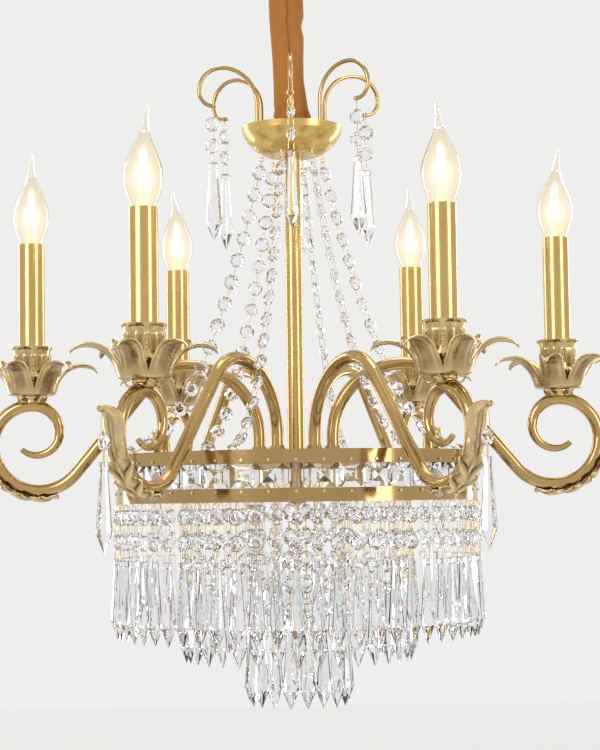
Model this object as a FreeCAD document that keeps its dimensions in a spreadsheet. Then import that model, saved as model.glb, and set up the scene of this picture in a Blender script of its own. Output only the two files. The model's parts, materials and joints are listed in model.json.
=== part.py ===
import FreeCAD, Part
import os
import Sketcher
from math import atan2, cos, degrees, hypot, pi, radians, sin, sqrt

# A six-arm crystal chandelier, hung from the ceiling on a short chain inside a cloth sleeve.
# Millimetres. +Z is up, and the origin is the middle of the bracket's screws on the ceiling.
# The light is seen from the front along +Y. An angle is counted from +X towards +Y.

Vector = FreeCAD.Vector
Rotation = FreeCAD.Rotation
Placement = FreeCAD.Placement
UP = Vector(0, 0, 1)
ORIGIN = Vector(0, 0, 0)

DIMENSIONS = {
    # clearances
    "rod_clearance": 0.1,
    "seat_gap": 0.3,
    "screw_clearance": 0.08,
    "wire_gap": 0.2,
    # ceiling bracket and canopy
    "bracket_length": 92,
    "bracket_width": 20,
    "bracket_thick": 3,
    "screw_spacing": 70,
    "screw_hole": 5,
    "nipple_width": 10,
    "nipple_bore": 6,
    "nipple_grip": 6,
    "small_nut_thick": 3,
    "small_nut_across": 16,
    "canopy_width": 120,
    "canopy_depth": 35,
    "canopy_wall": 1.2,
    "canopy_lip": 4,
    "canopy_flat": 30,
    "terminal_length": 26,
    "terminal_width": 16,
    "terminal_depth": 12,
    "terminal_offset": 27,
    "terminal_bore": 3.2,
    "collar_width": 22,
    "collar_depth": 8,
    "canopy_loop_width": 16,
    # chain
    "chain_wire": 3.5,
    "link_count": 4,
    "link_length": 35.75,
    "link_width": 22,
    # cloth sleeve
    "sleeve_wall": 1.2,
    "sleeve_folds": 8,
    "sleeve_above": 3,
    "sleeve_below": 22,
    "sleeve_slack": 3.4,
    "sleeve_flare": 1.6,
    # bowl and hooks
    "bowl_loop_width": 14,
    "socket_length": 20,
    "socket_width": 12,
    "socket_grip": 13,
    "hook_plate_thick": 5,
    "hook_plate_width": 20,
    "rod_nut_thick": 5,
    "rod_nut_across": 16,
    "bowl_width": 98,
    "bowl_depth": 27.5,
    "bowl_wall": 1.2,
    "bowl_lip": 6,
    "bowl_floor": 50,
    "hook_wire": 4,
    "hook_foot": 35,
    "hook_foot_bend": 6,
    "hook_height": 75,
    "hook_arch": 33,
    "hook_fall": 24.5,
    "hook_curl": 13.5,
    "hook_curl_turn": 100,
    # column
    "rod_width": 10,
    "tube_width": 16,
    "tube_bore": 13,
    "tube_length": 287,
    "hub_width": 100,
    "hub_thick": 3.5,
    "spacer_width": 30,
    "spacer_length": 33,
    "finial_flange": 3,
    "finial_grip": 7,
    "finial_length": 11,
    "finial_width": 9,
    # rings
    "ring_width": 347,
    "band_thick": 2,
    "band_height": 12.2,
    "upper_band_rise": 0.7,
    "lower_band_rise": 2.7,
    "spoke_width": 12,
    "spoke_thick": 3,
    "spoke_start": 12,
    "post_width": 6,
    "post_radius": 162,
    "tier_ring_thick": 3,
    "tier_ring_height": 6.5,
    "middle_tier_radius": 108,
    "inner_tier_radius": 46,
    # square crystals
    "square_count": 45,
    "square_width": 21.8,
    "square_edge": 2.4,
    "square_crown": 3.2,
    "square_back": 2.2,
    "pin_head": 2.4,
    "pin_inset": 3,
    # crystal strands
    "bead_width": 14,
    "bead_thick": 7,
    "bead_edge": 2,
    "bead_table": 7,
    "bead_pitch": 23.1,
    "drop_length": 76,
    "drop_width": 15.4,
    "drop_thick": 13,
    "drop_point": 18,
    "drop_hang": 16,
    "crystal_wire": 1,
    "outer_count": 60,
    "outer_beads": 2,
    "outer_first": 13,
    "middle_count": 36,
    "middle_beads": 3,
    "middle_first": 13,
    "inner_count": 18,
    "inner_beads": 5,
    "inner_first": 9.5,
    "hook_first": 14.5,
    "hook_beads": 2,
    "hook_pitch": 21.5,
    # swags
    "swag_radius": 30,
    "swag_turn": 9.5,
    "swag_pitch": 22.3,
    "swag_sag": 2.2,
    "eye_width": 5,
    "eye_drop": 5,
    # arms
    "arm_width": 12,
    "arm_wall": 1.2,
    "arm_root": 35.7,
    "arm_stub": 8.8,
    "arm_stub_length": 10.5,
    "arm_stub_bore": 6,
    "arm_nut_thick": 5,
    "arm_nut_across": 13,
    "arm_rise": 69.5,
    "arm_peak": 83.3,
    "arm_shoulder": 47,
    "arm_valley_radius": 247.5,
    "arm_valley_height": -35.5,
    "arm_dip": 45,
    "scroll_outer": 44.8,
    "scroll_top": 37.8,
    "scroll_inner": 26.2,
    "scroll_eye": 22,
    "scroll_tip": 20,
    "arm_tip_width": 5.2,
    "flange_width": 18,
    "flange_height": 4.5,
    # leaves on the scrolls
    "leaf_thick": 2,
    "leaf_width": 29,
    "leaf_stand": 0.9,
    "leaf_run": 19,
    "leaf_curl": 11,
    "leaf_hole": 3.2,
    # candles
    "neck_width": 18.4,
    "neck_height": 8,
    "neck_rise": 4.4,
    "lamp_nipple_length": 13,
    "bobeche_floor": 41,
    "bobeche_wall": 1.3,
    "bobeche_crest": 96,
    "bobeche_height": 32,
    "bobeche_width": 126,
    "bobeche_droop": 6.5,
    "bobeche_waist": 47,
    "petal_width": 20,
    "cup_height": 44.7,
    "cup_rim": 38,
    "cup_waist": 30.8,
    "cup_foot": 21,
    "cup_floor": 2.2,
    "cup_seat": 18,
    "candle_width": 25,
    "candle_wall": 1.1,
    "candle_length": 126.3,
    "holder_stem": 12,
    "holder_width": 21.6,
    "holder_depth": 34,
    "holder_below": 12.6,
    # bulbs
    "cap_width": 13.8,
    "cap_length": 22,
    "contact_width": 8,
    "contact_length": 2,
    "glass_neck": 15,
    "glass_width": 35,
    "glass_length": 101,
    "glass_wall": 0.9,
    "glass_bend": 5,
    # arm drops
    "arm_drop_first": 26,
    "head_width": 3.2,
    "head_rise": 3,
}

LAMPS = 6
STEP = 360 / LAMPS
# where the hooks point: they have been bent a little out of their even places
HOOK_TURNS = (22, 82, 148, 196, 269.5, 322)
# how far each strand has twisted about itself, and each dish about its candle, from arm 1 on
SWAG_TWISTS = (-54, -60, -40, 80, -24, 36)
HOOK_TWISTS = (68, 30, -4, 68, -82, -52)
DISH_TURNS = (11, -4, 6, 13, 12, -8)

doc = FreeCAD.newDocument("crystal_chandelier")
sheet = doc.addObject("Spreadsheet::Sheet", "sizes")
sheet.Label = "driving dimensions"
for row, (name, value) in enumerate(DIMENSIONS.items(), start=1):
    sheet.set(f"A{row}", name)
    sheet.set(f"B{row}", str(value))
    sheet.setAlias(f"B{row}", name)
doc.recompute()

parts = []


class Sizes:
    """Reads each driving dimension from the sheet by its name."""

    def __getattr__(self, name):
        return float(sheet.get(name))


d = Sizes()


# ---------------------------------------------------------------- helpers

def add_part(name, shape):
    """Adds a finished sub-part whose shape is made in code."""
    part = doc.addObject("Part::Feature", name)
    part.Label = name
    part.Shape = Part.makeCompound(shape.Solids)
    part.Placement = Placement()
    parts.append(part)
    return part


def keep(part, name):
    """Marks an object of the tree as a finished sub-part."""
    part.Label = name
    parts.append(part)
    return part


def cylinder(name, radius, height, z):
    """A cylinder on the axis whose sizes are bound to the sheet."""
    body = doc.addObject("Part::Cylinder", name)
    body.setExpression("Radius", radius)
    body.setExpression("Height", height)
    body.Placement = Placement(Vector(0, 0, z), Rotation())
    return body


def cut(name, base, tool):
    """Base minus tool, as an object of the tree."""
    result = doc.addObject("Part::Cut", name)
    result.Base = base
    result.Tool = tool
    return result


def around(shape, count, first=0.0):
    """Copies of a shape, evenly turned about the axis."""
    return [turned(shape, first + 360 / count * i) for i in range(count)]


def turned(shape, angle):
    """A copy turned about the light's axis."""
    copy = shape.copy()
    copy.Placement = Placement(ORIGIN, Rotation(UP, angle)).multiply(copy.Placement)
    return copy


def moved(shape, x, y, z):
    """A copy moved to a place."""
    copy = shape.copy()
    copy.Placement = Placement(Vector(x, y, z), Rotation()).multiply(copy.Placement)
    return copy


def twisted(shape, place, axis, angle):
    """A copy turned about a line through a place."""
    copy = shape.copy()
    copy.rotate(place, axis, angle)
    return copy


def flat(points):
    """A face through points given as (radius, height) in the plane y = 0."""
    corners = [Vector(r, 0, z) for r, z in points]
    return Part.Face(Part.makePolygon(corners + corners[:1]))


def spun(edges):
    """The solid swept by a closed outline in the plane y = 0, turned about the axis."""
    return Part.Face(Part.Wire(edges)).revolve(ORIGIN, UP, 360)


def segment(start, end):
    """A straight edge in the plane y = 0."""
    return Part.makeLine(Vector(start[0], 0, start[1]), Vector(end[0], 0, end[1]))


def curve(start, middle, end):
    """A round edge through three points in the plane y = 0."""
    corners = [Vector(r, 0, z) for r, z in (start, middle, end)]
    return Part.Arc(*corners).toShape()


def hexagon(across, height, z, bore):
    """A nut standing on the height z, with its hole."""
    corner = across / sqrt(3)
    points = [Vector(corner * cos(radians(60 * i)), corner * sin(radians(60 * i)), z)
              for i in range(7)]
    nut = Part.Face(Part.makePolygon(points)).extrude(Vector(0, 0, height))
    return nut.cut(Part.makeCylinder(bore / 2, height, Vector(0, 0, z)))


def rod(start, end, radius):
    """A straight wire between two points."""
    run = end - start
    return Part.makeCylinder(radius, run.Length, start, run)


def faceted(rings):
    """A cut crystal: closed rings of points joined by flat facets, ends closed.

    A ring of one point is a tip."""
    faces = []
    for low, high in zip(rings, rings[1:]):
        sides = max(len(low), len(high))
        for i in range(sides):
            j = (i + 1) % sides
            if len(low) == 1:
                corners = [low[0], high[j], high[i]]
            elif len(high) == 1:
                corners = [low[i], low[j], high[0]]
            else:
                corners = [low[i], low[j], high[j], high[i]]
            faces.append(Part.Face(Part.makePolygon(corners + corners[:1])))
    for end in (rings[0], rings[-1]):
        if len(end) > 1:
            faces.append(Part.Face(Part.makePolygon(end + end[:1])))
    crystal = Part.makeSolid(Part.makeShell(faces))
    if crystal.Volume < 0:
        crystal.reverse()
    return crystal


class Pen:
    """Draws lines and tangent arcs in the plane y = 0, and keeps its place and heading."""

    def __init__(self, r, z, heading):
        self.r = r
        self.z = z
        self.heading = heading
        self.edges = []
        self.stations = []

    def step(self, r, z):
        self.r = r
        self.z = z
        return self

    def line(self, length):
        end = (self.r + length * cos(radians(self.heading)),
               self.z + length * sin(radians(self.heading)))
        self.edges.append(segment((self.r, self.z), end))
        return self.step(*end)

    def arc(self, radius, turn):
        """Turns left by a positive angle and right by a negative one."""
        points = [self.on_arc(radius, turn * share) for share in (0, 0.5, 1)]
        self.edges.append(curve(*points))
        self.heading += turn
        return self.step(*points[2])

    def on_arc(self, radius, turn):
        side = 1 if turn >= 0 else -1
        start = radians(self.heading)
        end = radians(self.heading + turn)
        return (self.r + side * radius * (sin(end) - sin(start)),
                self.z - side * radius * (cos(end) - cos(start)))

    def mark(self):
        """Notes the present place and heading."""
        self.stations.append((self.r, self.z, self.heading))
        return self


def pipe(edges, radius):
    """A round bar along a path of lines and tangent arcs."""
    first = edges[0]
    start = first.valueAt(first.FirstParameter)
    heading = first.tangentAt(first.FirstParameter)
    section = Part.Wire([Part.Circle(start, heading, radius).toShape()])
    return Part.Wire(edges).makePipeShell([section], True, False)


def torus(radius, wire, place, axis):
    """A closed ring of round wire."""
    return Part.makeTorus(radius, wire / 2, place, axis)


# ---------------------------------------------------------------- heights, from the ceiling down

nipple_bore = d.nipple_width + 2 * d.rod_clearance
rod_bore = d.rod_width + 2 * d.rod_clearance
canopy_floor_z = -d.canopy_depth
collar_z = canopy_floor_z - d.collar_depth
canopy_loop_z = collar_z - d.canopy_loop_width / 2 - d.chain_wire / 4
upper_pivot_z = canopy_loop_z - d.canopy_loop_width / 2
wire_step = d.chain_wire + d.seat_gap
link_reach = d.link_length - d.chain_wire
link_pitch = link_reach - wire_step
lower_pivot_z = upper_pivot_z + wire_step - d.link_count * link_pitch
bowl_loop_z = lower_pivot_z - d.bowl_loop_width / 2
socket_top_z = bowl_loop_z - d.bowl_loop_width / 2
socket_z = socket_top_z - d.socket_length
hook_plate_z = socket_z - d.hook_plate_thick
rod_nut_z = hook_plate_z - d.rod_nut_thick
bowl_z = rod_nut_z - d.bowl_wall
hub_top_z = bowl_z - d.tube_length
hub_z = hub_top_z - d.hub_thick
upper_spoke_z = hub_z - d.spoke_thick
lower_spoke_top_z = upper_spoke_z - d.spacer_length
lower_spoke_z = lower_spoke_top_z - d.spoke_thick
upper_band_z = hub_z + d.upper_band_rise - d.band_height
lower_band_z = lower_spoke_top_z + d.lower_band_rise - d.band_height
tier_z = lower_spoke_z - d.tier_ring_height
finial_z = lower_spoke_z - d.finial_length
rod_bottom_z = lower_spoke_z - d.finial_grip
rod_top_z = socket_z + d.socket_grip


# ---------------------------------------------------------------- ceiling fitting

def sketch_on_top(body, name):
    """An empty sketch on the body's own XY plane."""
    sketch = body.newObject("Sketcher::SketchObject", name)
    plane = [f for f in body.Origin.OriginFeatures if f.Role == "XY_Plane"][0]
    sketch.AttachmentSupport = [(plane, "")]
    sketch.MapMode = "FlatFace"
    return sketch


def add_circle(sketch, x, radius, radius_words, x_words=None):
    """A circle on the sketch's x axis, bound to the sheet."""
    index = sketch.addGeometry(Part.Circle(Vector(x, 0, 0), UP, radius), False)
    first = sketch.ConstraintCount
    sketch.addConstraint(Sketcher.Constraint("Radius", index, radius))
    sketch.setExpression(f"Constraints[{first}]", radius_words)
    if x_words is None:
        sketch.addConstraint(Sketcher.Constraint("Coincident", index, 3, -1, 1))
    else:
        sketch.addConstraint(Sketcher.Constraint("PointOnObject", index, 3, -1))
        sketch.addConstraint(Sketcher.Constraint("DistanceX", -1, 1, index, 3, x))
        sketch.setExpression(f"Constraints[{first + 2}]", x_words)


def pocket_down(body, sketch, name):
    """Cuts a sketch on the top plane through the plate under it."""
    pocket = body.newObject("PartDesign::Pocket", name)
    pocket.Profile = sketch
    pocket.Type = "ThroughAll"
    pocket.Midplane = True
    return pocket


def ceiling_bracket():
    """A flat strap with two screw holes and a centre hole for the nipple."""
    body = doc.addObject("PartDesign::Body", "ceiling_bracket")
    outline = sketch_on_top(body, "strap_outline")
    half_length = d.bracket_length / 2
    half_width = d.bracket_width / 2
    corners = [Vector(-half_length, -half_width, 0), Vector(half_length, -half_width, 0),
               Vector(half_length, half_width, 0), Vector(-half_length, half_width, 0)]
    for i in range(4):
        outline.addGeometry(Part.LineSegment(corners[i], corners[(i + 1) % 4]), False)
    for i in range(4):
        outline.addConstraint(Sketcher.Constraint("Coincident", i, 2, (i + 1) % 4, 1))
    for side, kind in enumerate(("Horizontal", "Vertical", "Horizontal", "Vertical")):
        outline.addConstraint(Sketcher.Constraint(kind, side))
    outline.addConstraint(Sketcher.Constraint("Symmetric", 0, 1, 1, 2, -1, 1))
    outline.addConstraint(Sketcher.Constraint("DistanceX", 0, 1, 0, 2, d.bracket_length))
    outline.setExpression("Constraints[9]", "sizes.bracket_length")
    outline.addConstraint(Sketcher.Constraint("DistanceY", 1, 1, 1, 2, d.bracket_width))
    outline.setExpression("Constraints[10]", "sizes.bracket_width")
    pad = body.newObject("PartDesign::Pad", "strap")
    pad.Profile = outline
    pad.setExpression("Length", "sizes.bracket_thick")
    pad.Reversed = True
    doc.recompute()
    holes = sketch_on_top(body, "strap_holes")
    hole = d.screw_hole / 2
    half_spacing = d.screw_spacing / 2
    add_circle(holes, half_spacing, hole, "sizes.screw_hole / 2", "sizes.screw_spacing / 2")
    add_circle(holes, -half_spacing, hole, "sizes.screw_hole / 2", "-sizes.screw_spacing / 2")
    add_circle(holes, 0, nipple_bore / 2, "sizes.nipple_width / 2 + sizes.rod_clearance")
    pocket_down(body, holes, "holes")
    doc.recompute()
    keep(body, "ceiling_bracket")


def canopy_outline():
    """The dome's outer points as (radius, height): rim, lip, shoulder, flat floor."""
    rim = d.canopy_width / 2
    floor = d.canopy_flat / 2
    run = rim - floor
    fall = d.canopy_depth - d.canopy_lip
    shoulder = (floor + run * 0.78, -d.canopy_lip - fall * 0.46)
    return (rim, 0), (rim, -d.canopy_lip), shoulder, (floor, canopy_floor_z)


def ceiling_fitting():
    """Bracket, nipple and its nuts, canopy, terminal block, and the loop that carries the chain."""
    ceiling_bracket()

    nipple_length = d.canopy_depth + d.nipple_grip
    nipple = cut("threaded_nipple",
                 cylinder("nipple_bar", "sizes.nipple_width / 2",
                          "sizes.canopy_depth + sizes.nipple_grip", -nipple_length),
                 cylinder("nipple_hole", "sizes.nipple_bore / 2",
                          "sizes.canopy_depth + sizes.nipple_grip", -nipple_length))
    keep(nipple, "threaded_nipple")

    upper_nut = hexagon(d.small_nut_across, d.small_nut_thick,
                        -d.bracket_thick - d.small_nut_thick, nipple_bore)
    lower_nut = hexagon(d.small_nut_across, d.small_nut_thick,
                        canopy_floor_z + d.canopy_wall, nipple_bore)
    add_part("nipple_nuts", Part.makeCompound([upper_nut, lower_nut]))

    wall = d.canopy_wall
    rim, lip, shoulder, floor = canopy_outline()
    hole = nipple_bore / 2
    inner_rim = (rim[0] - wall, rim[1])
    inner_lip = (lip[0] - wall, lip[1])
    inner_shoulder = (shoulder[0] - wall * 0.8, shoulder[1] + wall * 0.6)
    inner_floor = (floor[0], floor[1] + wall)
    add_part("canopy_cover", spun([
        segment((hole, floor[1]), floor), curve(floor, shoulder, lip), segment(lip, rim),
        segment(rim, inner_rim), segment(inner_rim, inner_lip),
        curve(inner_lip, inner_shoulder, inner_floor),
        segment(inner_floor, (hole, inner_floor[1])),
        segment((hole, inner_floor[1]), (hole, floor[1]))]))

    block = Part.makeBox(d.terminal_length, d.terminal_width, d.terminal_depth,
                         Vector(d.terminal_offset - d.terminal_length / 2, -d.terminal_width / 2,
                                -d.bracket_thick - d.terminal_depth))
    for i in (-1, 0, 1):
        x = d.terminal_offset + i * d.terminal_length / 3
        block = block.cut(Part.makeCylinder(
            d.terminal_bore / 2, 2 * d.terminal_width,
            Vector(x, -d.terminal_width, -d.bracket_thick - d.terminal_depth / 2),
            Vector(0, 1, 0)))
    add_part("terminal_block", block)

    collar = Part.makeCylinder(d.collar_width / 2, d.collar_depth, Vector(0, 0, collar_z))
    ring = torus(d.canopy_loop_width / 2, d.chain_wire, Vector(0, 0, canopy_loop_z), Vector(0, 1, 0))
    seat = Part.makeCylinder(nipple_bore / 2, d.nipple_grip + d.rod_clearance,
                             Vector(0, 0, canopy_floor_z - d.nipple_grip - d.rod_clearance))
    add_part("canopy_loop", collar.fuse(ring).cut(seat))


# ---------------------------------------------------------------- chain and sleeve

def chain_link(top_z, turn):
    """An oval link of round wire in the plane y = 0, turned about the axis.

    top_z is the middle of the wire at its top."""
    bend = (d.link_width - d.chain_wire) / 2
    side = link_reach - 2 * bend
    pen = Pen(bend, top_z - bend - side, 90)
    pen.line(side).arc(bend, 180).line(side).arc(bend, 180)
    return turned(pipe(pen.edges, d.chain_wire / 2), turn)


def folded_ring(crest, valley, z):
    """A closed outline of soft folds: round crests with round hollows between them."""
    folds = int(d.sleeve_folds)
    middle = (crest + valley) / 2
    quarter = 90 / folds

    def place(step, radius):
        angle = radians(step * quarter)
        return Vector(radius * cos(angle), radius * sin(angle), z)

    edges = []
    for i in range(folds):
        start = 4 * i
        edges.append(Part.Arc(place(start - 1, middle), place(start, valley),
                              place(start + 1, middle)).toShape())
        edges.append(Part.Arc(place(start + 1, middle), place(start + 2, crest),
                              place(start + 3, middle)).toShape())
    return Part.Wire(edges)


def cloth_sleeve():
    """The slack cloth tube round the chain, its folds resting against the links."""
    top = upper_pivot_z + d.sleeve_above
    bottom = lower_pivot_z - d.sleeve_below
    rest = d.link_width / 2 + d.seat_gap + d.sleeve_wall
    span = top - bottom
    # share of the height from the top, crest above the rest radius, valley above it
    shape = ((0.00, d.sleeve_slack + d.sleeve_flare, 2 * d.sleeve_flare),
             (0.17, d.sleeve_slack + 0.4, 0.0),
             (0.40, d.sleeve_slack - d.sleeve_flare, 0.0),
             (0.62, d.sleeve_slack - 0.4, 0.0),
             (0.84, d.sleeve_slack, 0.0),
             (1.00, d.sleeve_slack + d.sleeve_flare, d.sleeve_flare))

    def skin(inset):
        rings = [folded_ring(rest + crest - inset, rest + valley - inset, top - span * share)
                 for share, crest, valley in shape]
        return Part.makeLoft(rings, True, True)

    return skin(0).cut(skin(d.sleeve_wall))


def chain_and_sleeve():
    """Links that hang in each other, and the sleeve round them."""
    links = []
    for i in range(int(d.link_count)):
        top_z = upper_pivot_z + wire_step - i * link_pitch
        links.append(chain_link(top_z, 90 if i % 2 == 0 else 0))
    add_part("chain_links", Part.makeCompound(links))
    add_part("fabric_sleeve", cloth_sleeve())


# ---------------------------------------------------------------- bowl and hooks

hook_section = d.hook_wire / 2
hook_wire_z = hook_plate_z + d.hook_plate_thick / 2
hook_tip_radius = d.hook_foot + d.hook_arch + d.hook_fall - d.hook_curl
hook_top_z = hook_wire_z + d.hook_height
hook_tip_z = hook_top_z - d.hook_fall - d.hook_curl


def bowl_outline():
    """The bowl's outer points as (radius, height), from its flat floor to its rim."""
    rim = d.bowl_width / 2
    floor = d.bowl_floor / 2
    rim_z = bowl_z + d.bowl_depth
    lip_z = rim_z - d.bowl_lip
    side = (floor + (rim - floor) * 0.70, bowl_z + (d.bowl_depth - d.bowl_lip) * 0.55)
    return (floor, bowl_z), side, (rim - d.bowl_wall, lip_z), (rim, rim_z)


def eye_place():
    """Height of the bowl's outside at the swag eyes."""
    floor, side, lip, rim = bowl_outline()
    share = (d.swag_radius - floor[0]) / (side[0] - floor[0])
    return floor[1] + share * share * (side[1] - floor[1])


def hook():
    """One wire hook in the plane y = 0: out from the plate, up, over and curled inwards."""
    reach = d.hook_foot - d.hook_foot_bend
    pen = Pen(d.hook_plate_width / 2, hook_wire_z, 0)
    pen.line(reach - pen.r).arc(d.hook_foot_bend, 90)
    pen.line(hook_top_z - d.hook_arch - pen.z)
    pen.arc(d.hook_arch, -90).arc(d.hook_fall, -90).arc(d.hook_curl, -d.hook_curl_turn)
    return pipe(pen.edges, hook_section)


def top_of_body():
    """Loop, bowl, its nut, the plate with the hooks, and the eyes that carry the swags."""
    ring = torus(d.bowl_loop_width / 2, d.chain_wire, Vector(0, 0, bowl_loop_z), Vector(1, 0, 0))
    socket = Part.makeCylinder(d.socket_width / 2, d.socket_length, Vector(0, 0, socket_z))
    seat = Part.makeCylinder(rod_bore / 2, d.socket_grip + d.rod_clearance,
                             Vector(0, 0, socket_z))
    bowl_loop = socket.fuse(ring).cut(seat)
    add_part("bowl_loop", bowl_loop)

    plate = cut("hook_plate",
                cylinder("hook_plate_disc", "sizes.hook_plate_width / 2", "sizes.hook_plate_thick",
                         hook_plate_z),
                cylinder("hook_plate_hole", "sizes.rod_width / 2 + sizes.rod_clearance",
                         "sizes.hook_plate_thick", hook_plate_z))
    keep(plate, "hook_plate")
    add_part("wire_hooks", Part.makeCompound([turned(hook(), turn) for turn in HOOK_TURNS]))

    wall = d.bowl_wall
    floor, side, lip, rim = bowl_outline()
    hole = rod_bore / 2
    inner_floor = (floor[0], floor[1] + wall)
    inner_side = (side[0] - wall * 0.7, side[1] + wall * 0.7)
    inner_lip = (lip[0] - wall, lip[1])
    inner_rim = (rim[0] - wall, rim[1])
    bowl = spun([
        segment((hole, floor[1]), floor), curve(floor, side, lip), segment(lip, rim),
        segment(rim, inner_rim), segment(inner_rim, inner_lip),
        curve(inner_lip, inner_side, inner_floor),
        segment(inner_floor, (hole, inner_floor[1])),
        segment((hole, inner_floor[1]), (hole, floor[1]))])
    shank = d.crystal_wire / 2
    eye_z = eye_place()
    hole_tool = Part.makeCylinder(shank + d.rod_clearance, d.bowl_depth,
                                  Vector(d.swag_radius, 0, eye_z - d.eye_drop))
    for tool in around(hole_tool, LAMPS, d.swag_turn):
        bowl = bowl.cut(tool)
    add_part("top_bowl", bowl)

    ring_z = eye_z - d.eye_drop
    pin = Part.makeCylinder(shank, d.eye_drop + 3 * wall,
                            Vector(d.swag_radius, 0, ring_z + d.eye_width / 2 - shank))
    eye = torus(d.eye_width / 2 - shank, d.crystal_wire, Vector(d.swag_radius, 0, ring_z),
                Vector(0, 1, 0))
    add_part("swag_eyes", Part.makeCompound(around(pin.fuse(eye), LAMPS, d.swag_turn)))


# ---------------------------------------------------------------- column and rings

def column():
    """The tube on its threaded rod, between the bowl and the bottom finial."""
    rod_length = rod_top_z - rod_bottom_z
    threaded = doc.addObject("Part::Cylinder", "threaded_rod")
    threaded.setExpression("Radius", "sizes.rod_width / 2")
    threaded.Height = rod_length
    threaded.Placement = Placement(Vector(0, 0, rod_bottom_z), Rotation())
    keep(threaded, "threaded_rod")

    tube = cut("central_tube",
               cylinder("tube_bar", "sizes.tube_width / 2", "sizes.tube_length", hub_top_z),
               cylinder("tube_hole", "sizes.tube_bore / 2", "sizes.tube_length", hub_top_z))
    keep(tube, "central_tube")

    spacer = cut("ring_spacer",
                 cylinder("spacer_bar", "sizes.spacer_width / 2", "sizes.spacer_length",
                          lower_spoke_top_z),
                 cylinder("spacer_hole", "sizes.rod_width / 2 + sizes.rod_clearance",
                          "sizes.spacer_length", lower_spoke_top_z))
    keep(spacer, "ring_spacer")

    flange = d.spacer_width / 2
    knob = d.finial_width / 2
    flange_z = lower_spoke_z - d.finial_flange
    grip_z = lower_spoke_z - d.finial_grip - d.rod_clearance
    outline = [(0, grip_z), (rod_bore / 2, grip_z), (rod_bore / 2, lower_spoke_z),
               (flange, lower_spoke_z), (flange, flange_z),
               (rod_bore / 2 + d.finial_flange, flange_z - d.finial_flange / 2),
               (rod_bore / 2 + d.finial_flange, grip_z - 1),
               (knob, grip_z - 1), (knob, finial_z + knob / 2), (knob / 2, finial_z), (0, finial_z)]
    add_part("bottom_finial", flat(outline).revolve(ORIGIN, UP, 360))


def hub_plate():
    """A round plate with the rod's hole and one hole for each arm."""
    body = doc.addObject("PartDesign::Body", "hub_plate")
    outline = sketch_on_top(body, "hub_outline")
    add_circle(outline, 0, d.hub_width / 2, "sizes.hub_width / 2")
    pad = body.newObject("PartDesign::Pad", "hub_disc")
    pad.Profile = outline
    pad.setExpression("Length", "sizes.hub_thick")
    doc.recompute()
    rod_hole = sketch_on_top(body, "rod_hole_outline")
    add_circle(rod_hole, 0, rod_bore / 2, "sizes.rod_width / 2 + sizes.rod_clearance")
    pocket_down(body, rod_hole, "rod_hole")
    arm_hole = sketch_on_top(body, "arm_hole_outline")
    add_circle(arm_hole, d.arm_root, d.arm_stub / 2 + d.rod_clearance,
               "sizes.arm_stub / 2 + sizes.rod_clearance", "sizes.arm_root")
    hole = pocket_down(body, arm_hole, "arm_hole")
    doc.recompute()
    pattern = body.newObject("PartDesign::PolarPattern", "arm_holes")
    pattern.Originals = [hole]
    axis = [f for f in body.Origin.OriginFeatures if f.Role == "Z_Axis"][0]
    pattern.Axis = (axis, [""])
    pattern.Angle = 360
    pattern.Occurrences = LAMPS
    body.Tip = pattern
    body.Placement = Placement(Vector(0, 0, hub_z), Rotation())
    doc.recompute()
    keep(body, "hub_plate")


def band(name, z):
    """A flat hoop whose sizes are bound to the sheet."""
    outer = cylinder(name + "_outside", "sizes.ring_width / 2", "sizes.band_height", z)
    inner = cylinder(name + "_inside", "sizes.ring_width / 2 - sizes.band_thick",
                     "sizes.band_height", z)
    return cut(name, outer, inner)


band_inside = d.ring_width / 2 - d.band_thick
band_middle = d.ring_width / 2 - d.band_thick / 2


def spoke(z):
    """A flat bar along +X from the column to the inside of a band."""
    half = d.spoke_width / 2
    end = sqrt(band_inside ** 2 - half ** 2) - d.rod_clearance
    return Part.makeBox(end - d.spoke_start, d.spoke_width, d.spoke_thick,
                        Vector(d.spoke_start, -half, z))


def tier_ring(radius):
    """A small hoop under the lower spokes that carries one tier."""
    half = d.tier_ring_thick / 2
    hoop = Part.makeCylinder(radius + half, d.tier_ring_height, Vector(0, 0, tier_z))
    return hoop.cut(Part.makeCylinder(radius - half, d.tier_ring_height, Vector(0, 0, tier_z)))


def rings():
    """Two bands on spokes, posts between the spokes, and the hoops of the inner tiers."""
    bands = doc.addObject("Part::Compound", "ring_bands")
    bands.Links = [band("upper_band", upper_band_z), band("lower_band", lower_band_z)]
    keep(bands, "ring_bands")
    post = Part.makeCylinder(d.post_width / 2, d.spacer_length,
                             Vector(d.post_radius, 0, lower_spoke_top_z))
    bars = [spoke(upper_spoke_z), spoke(lower_spoke_z), post]
    frame = [copy for bar in bars for copy in around(bar, LAMPS, STEP / 2)]
    add_part("ring_frame", Part.makeCompound(frame))
    add_part("tier_rings", Part.makeCompound([tier_ring(d.middle_tier_radius),
                                              tier_ring(d.inner_tier_radius)]))


def square_crystal():
    """A square plate at the front of its ring, with a low pyramid outside and a table inside."""
    half = d.square_width / 2
    low = lower_band_z + d.band_height + d.seat_gap
    high = upper_band_z - d.seat_gap
    middle = (low + high) / 2
    tall = (high - low) / 2

    def ring(x, share):
        return [Vector(x, half * share * a, middle + tall * share * b)
                for a, b in ((-1, -1), (1, -1), (1, 1), (-1, 1))]

    front = band_middle + d.square_edge / 2
    back = band_middle - d.square_edge / 2
    return faceted([ring(back - d.square_back, 0.5), ring(back, 1), ring(front, 1),
                    [Vector(front + d.square_crown, 0, middle)]])


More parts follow.
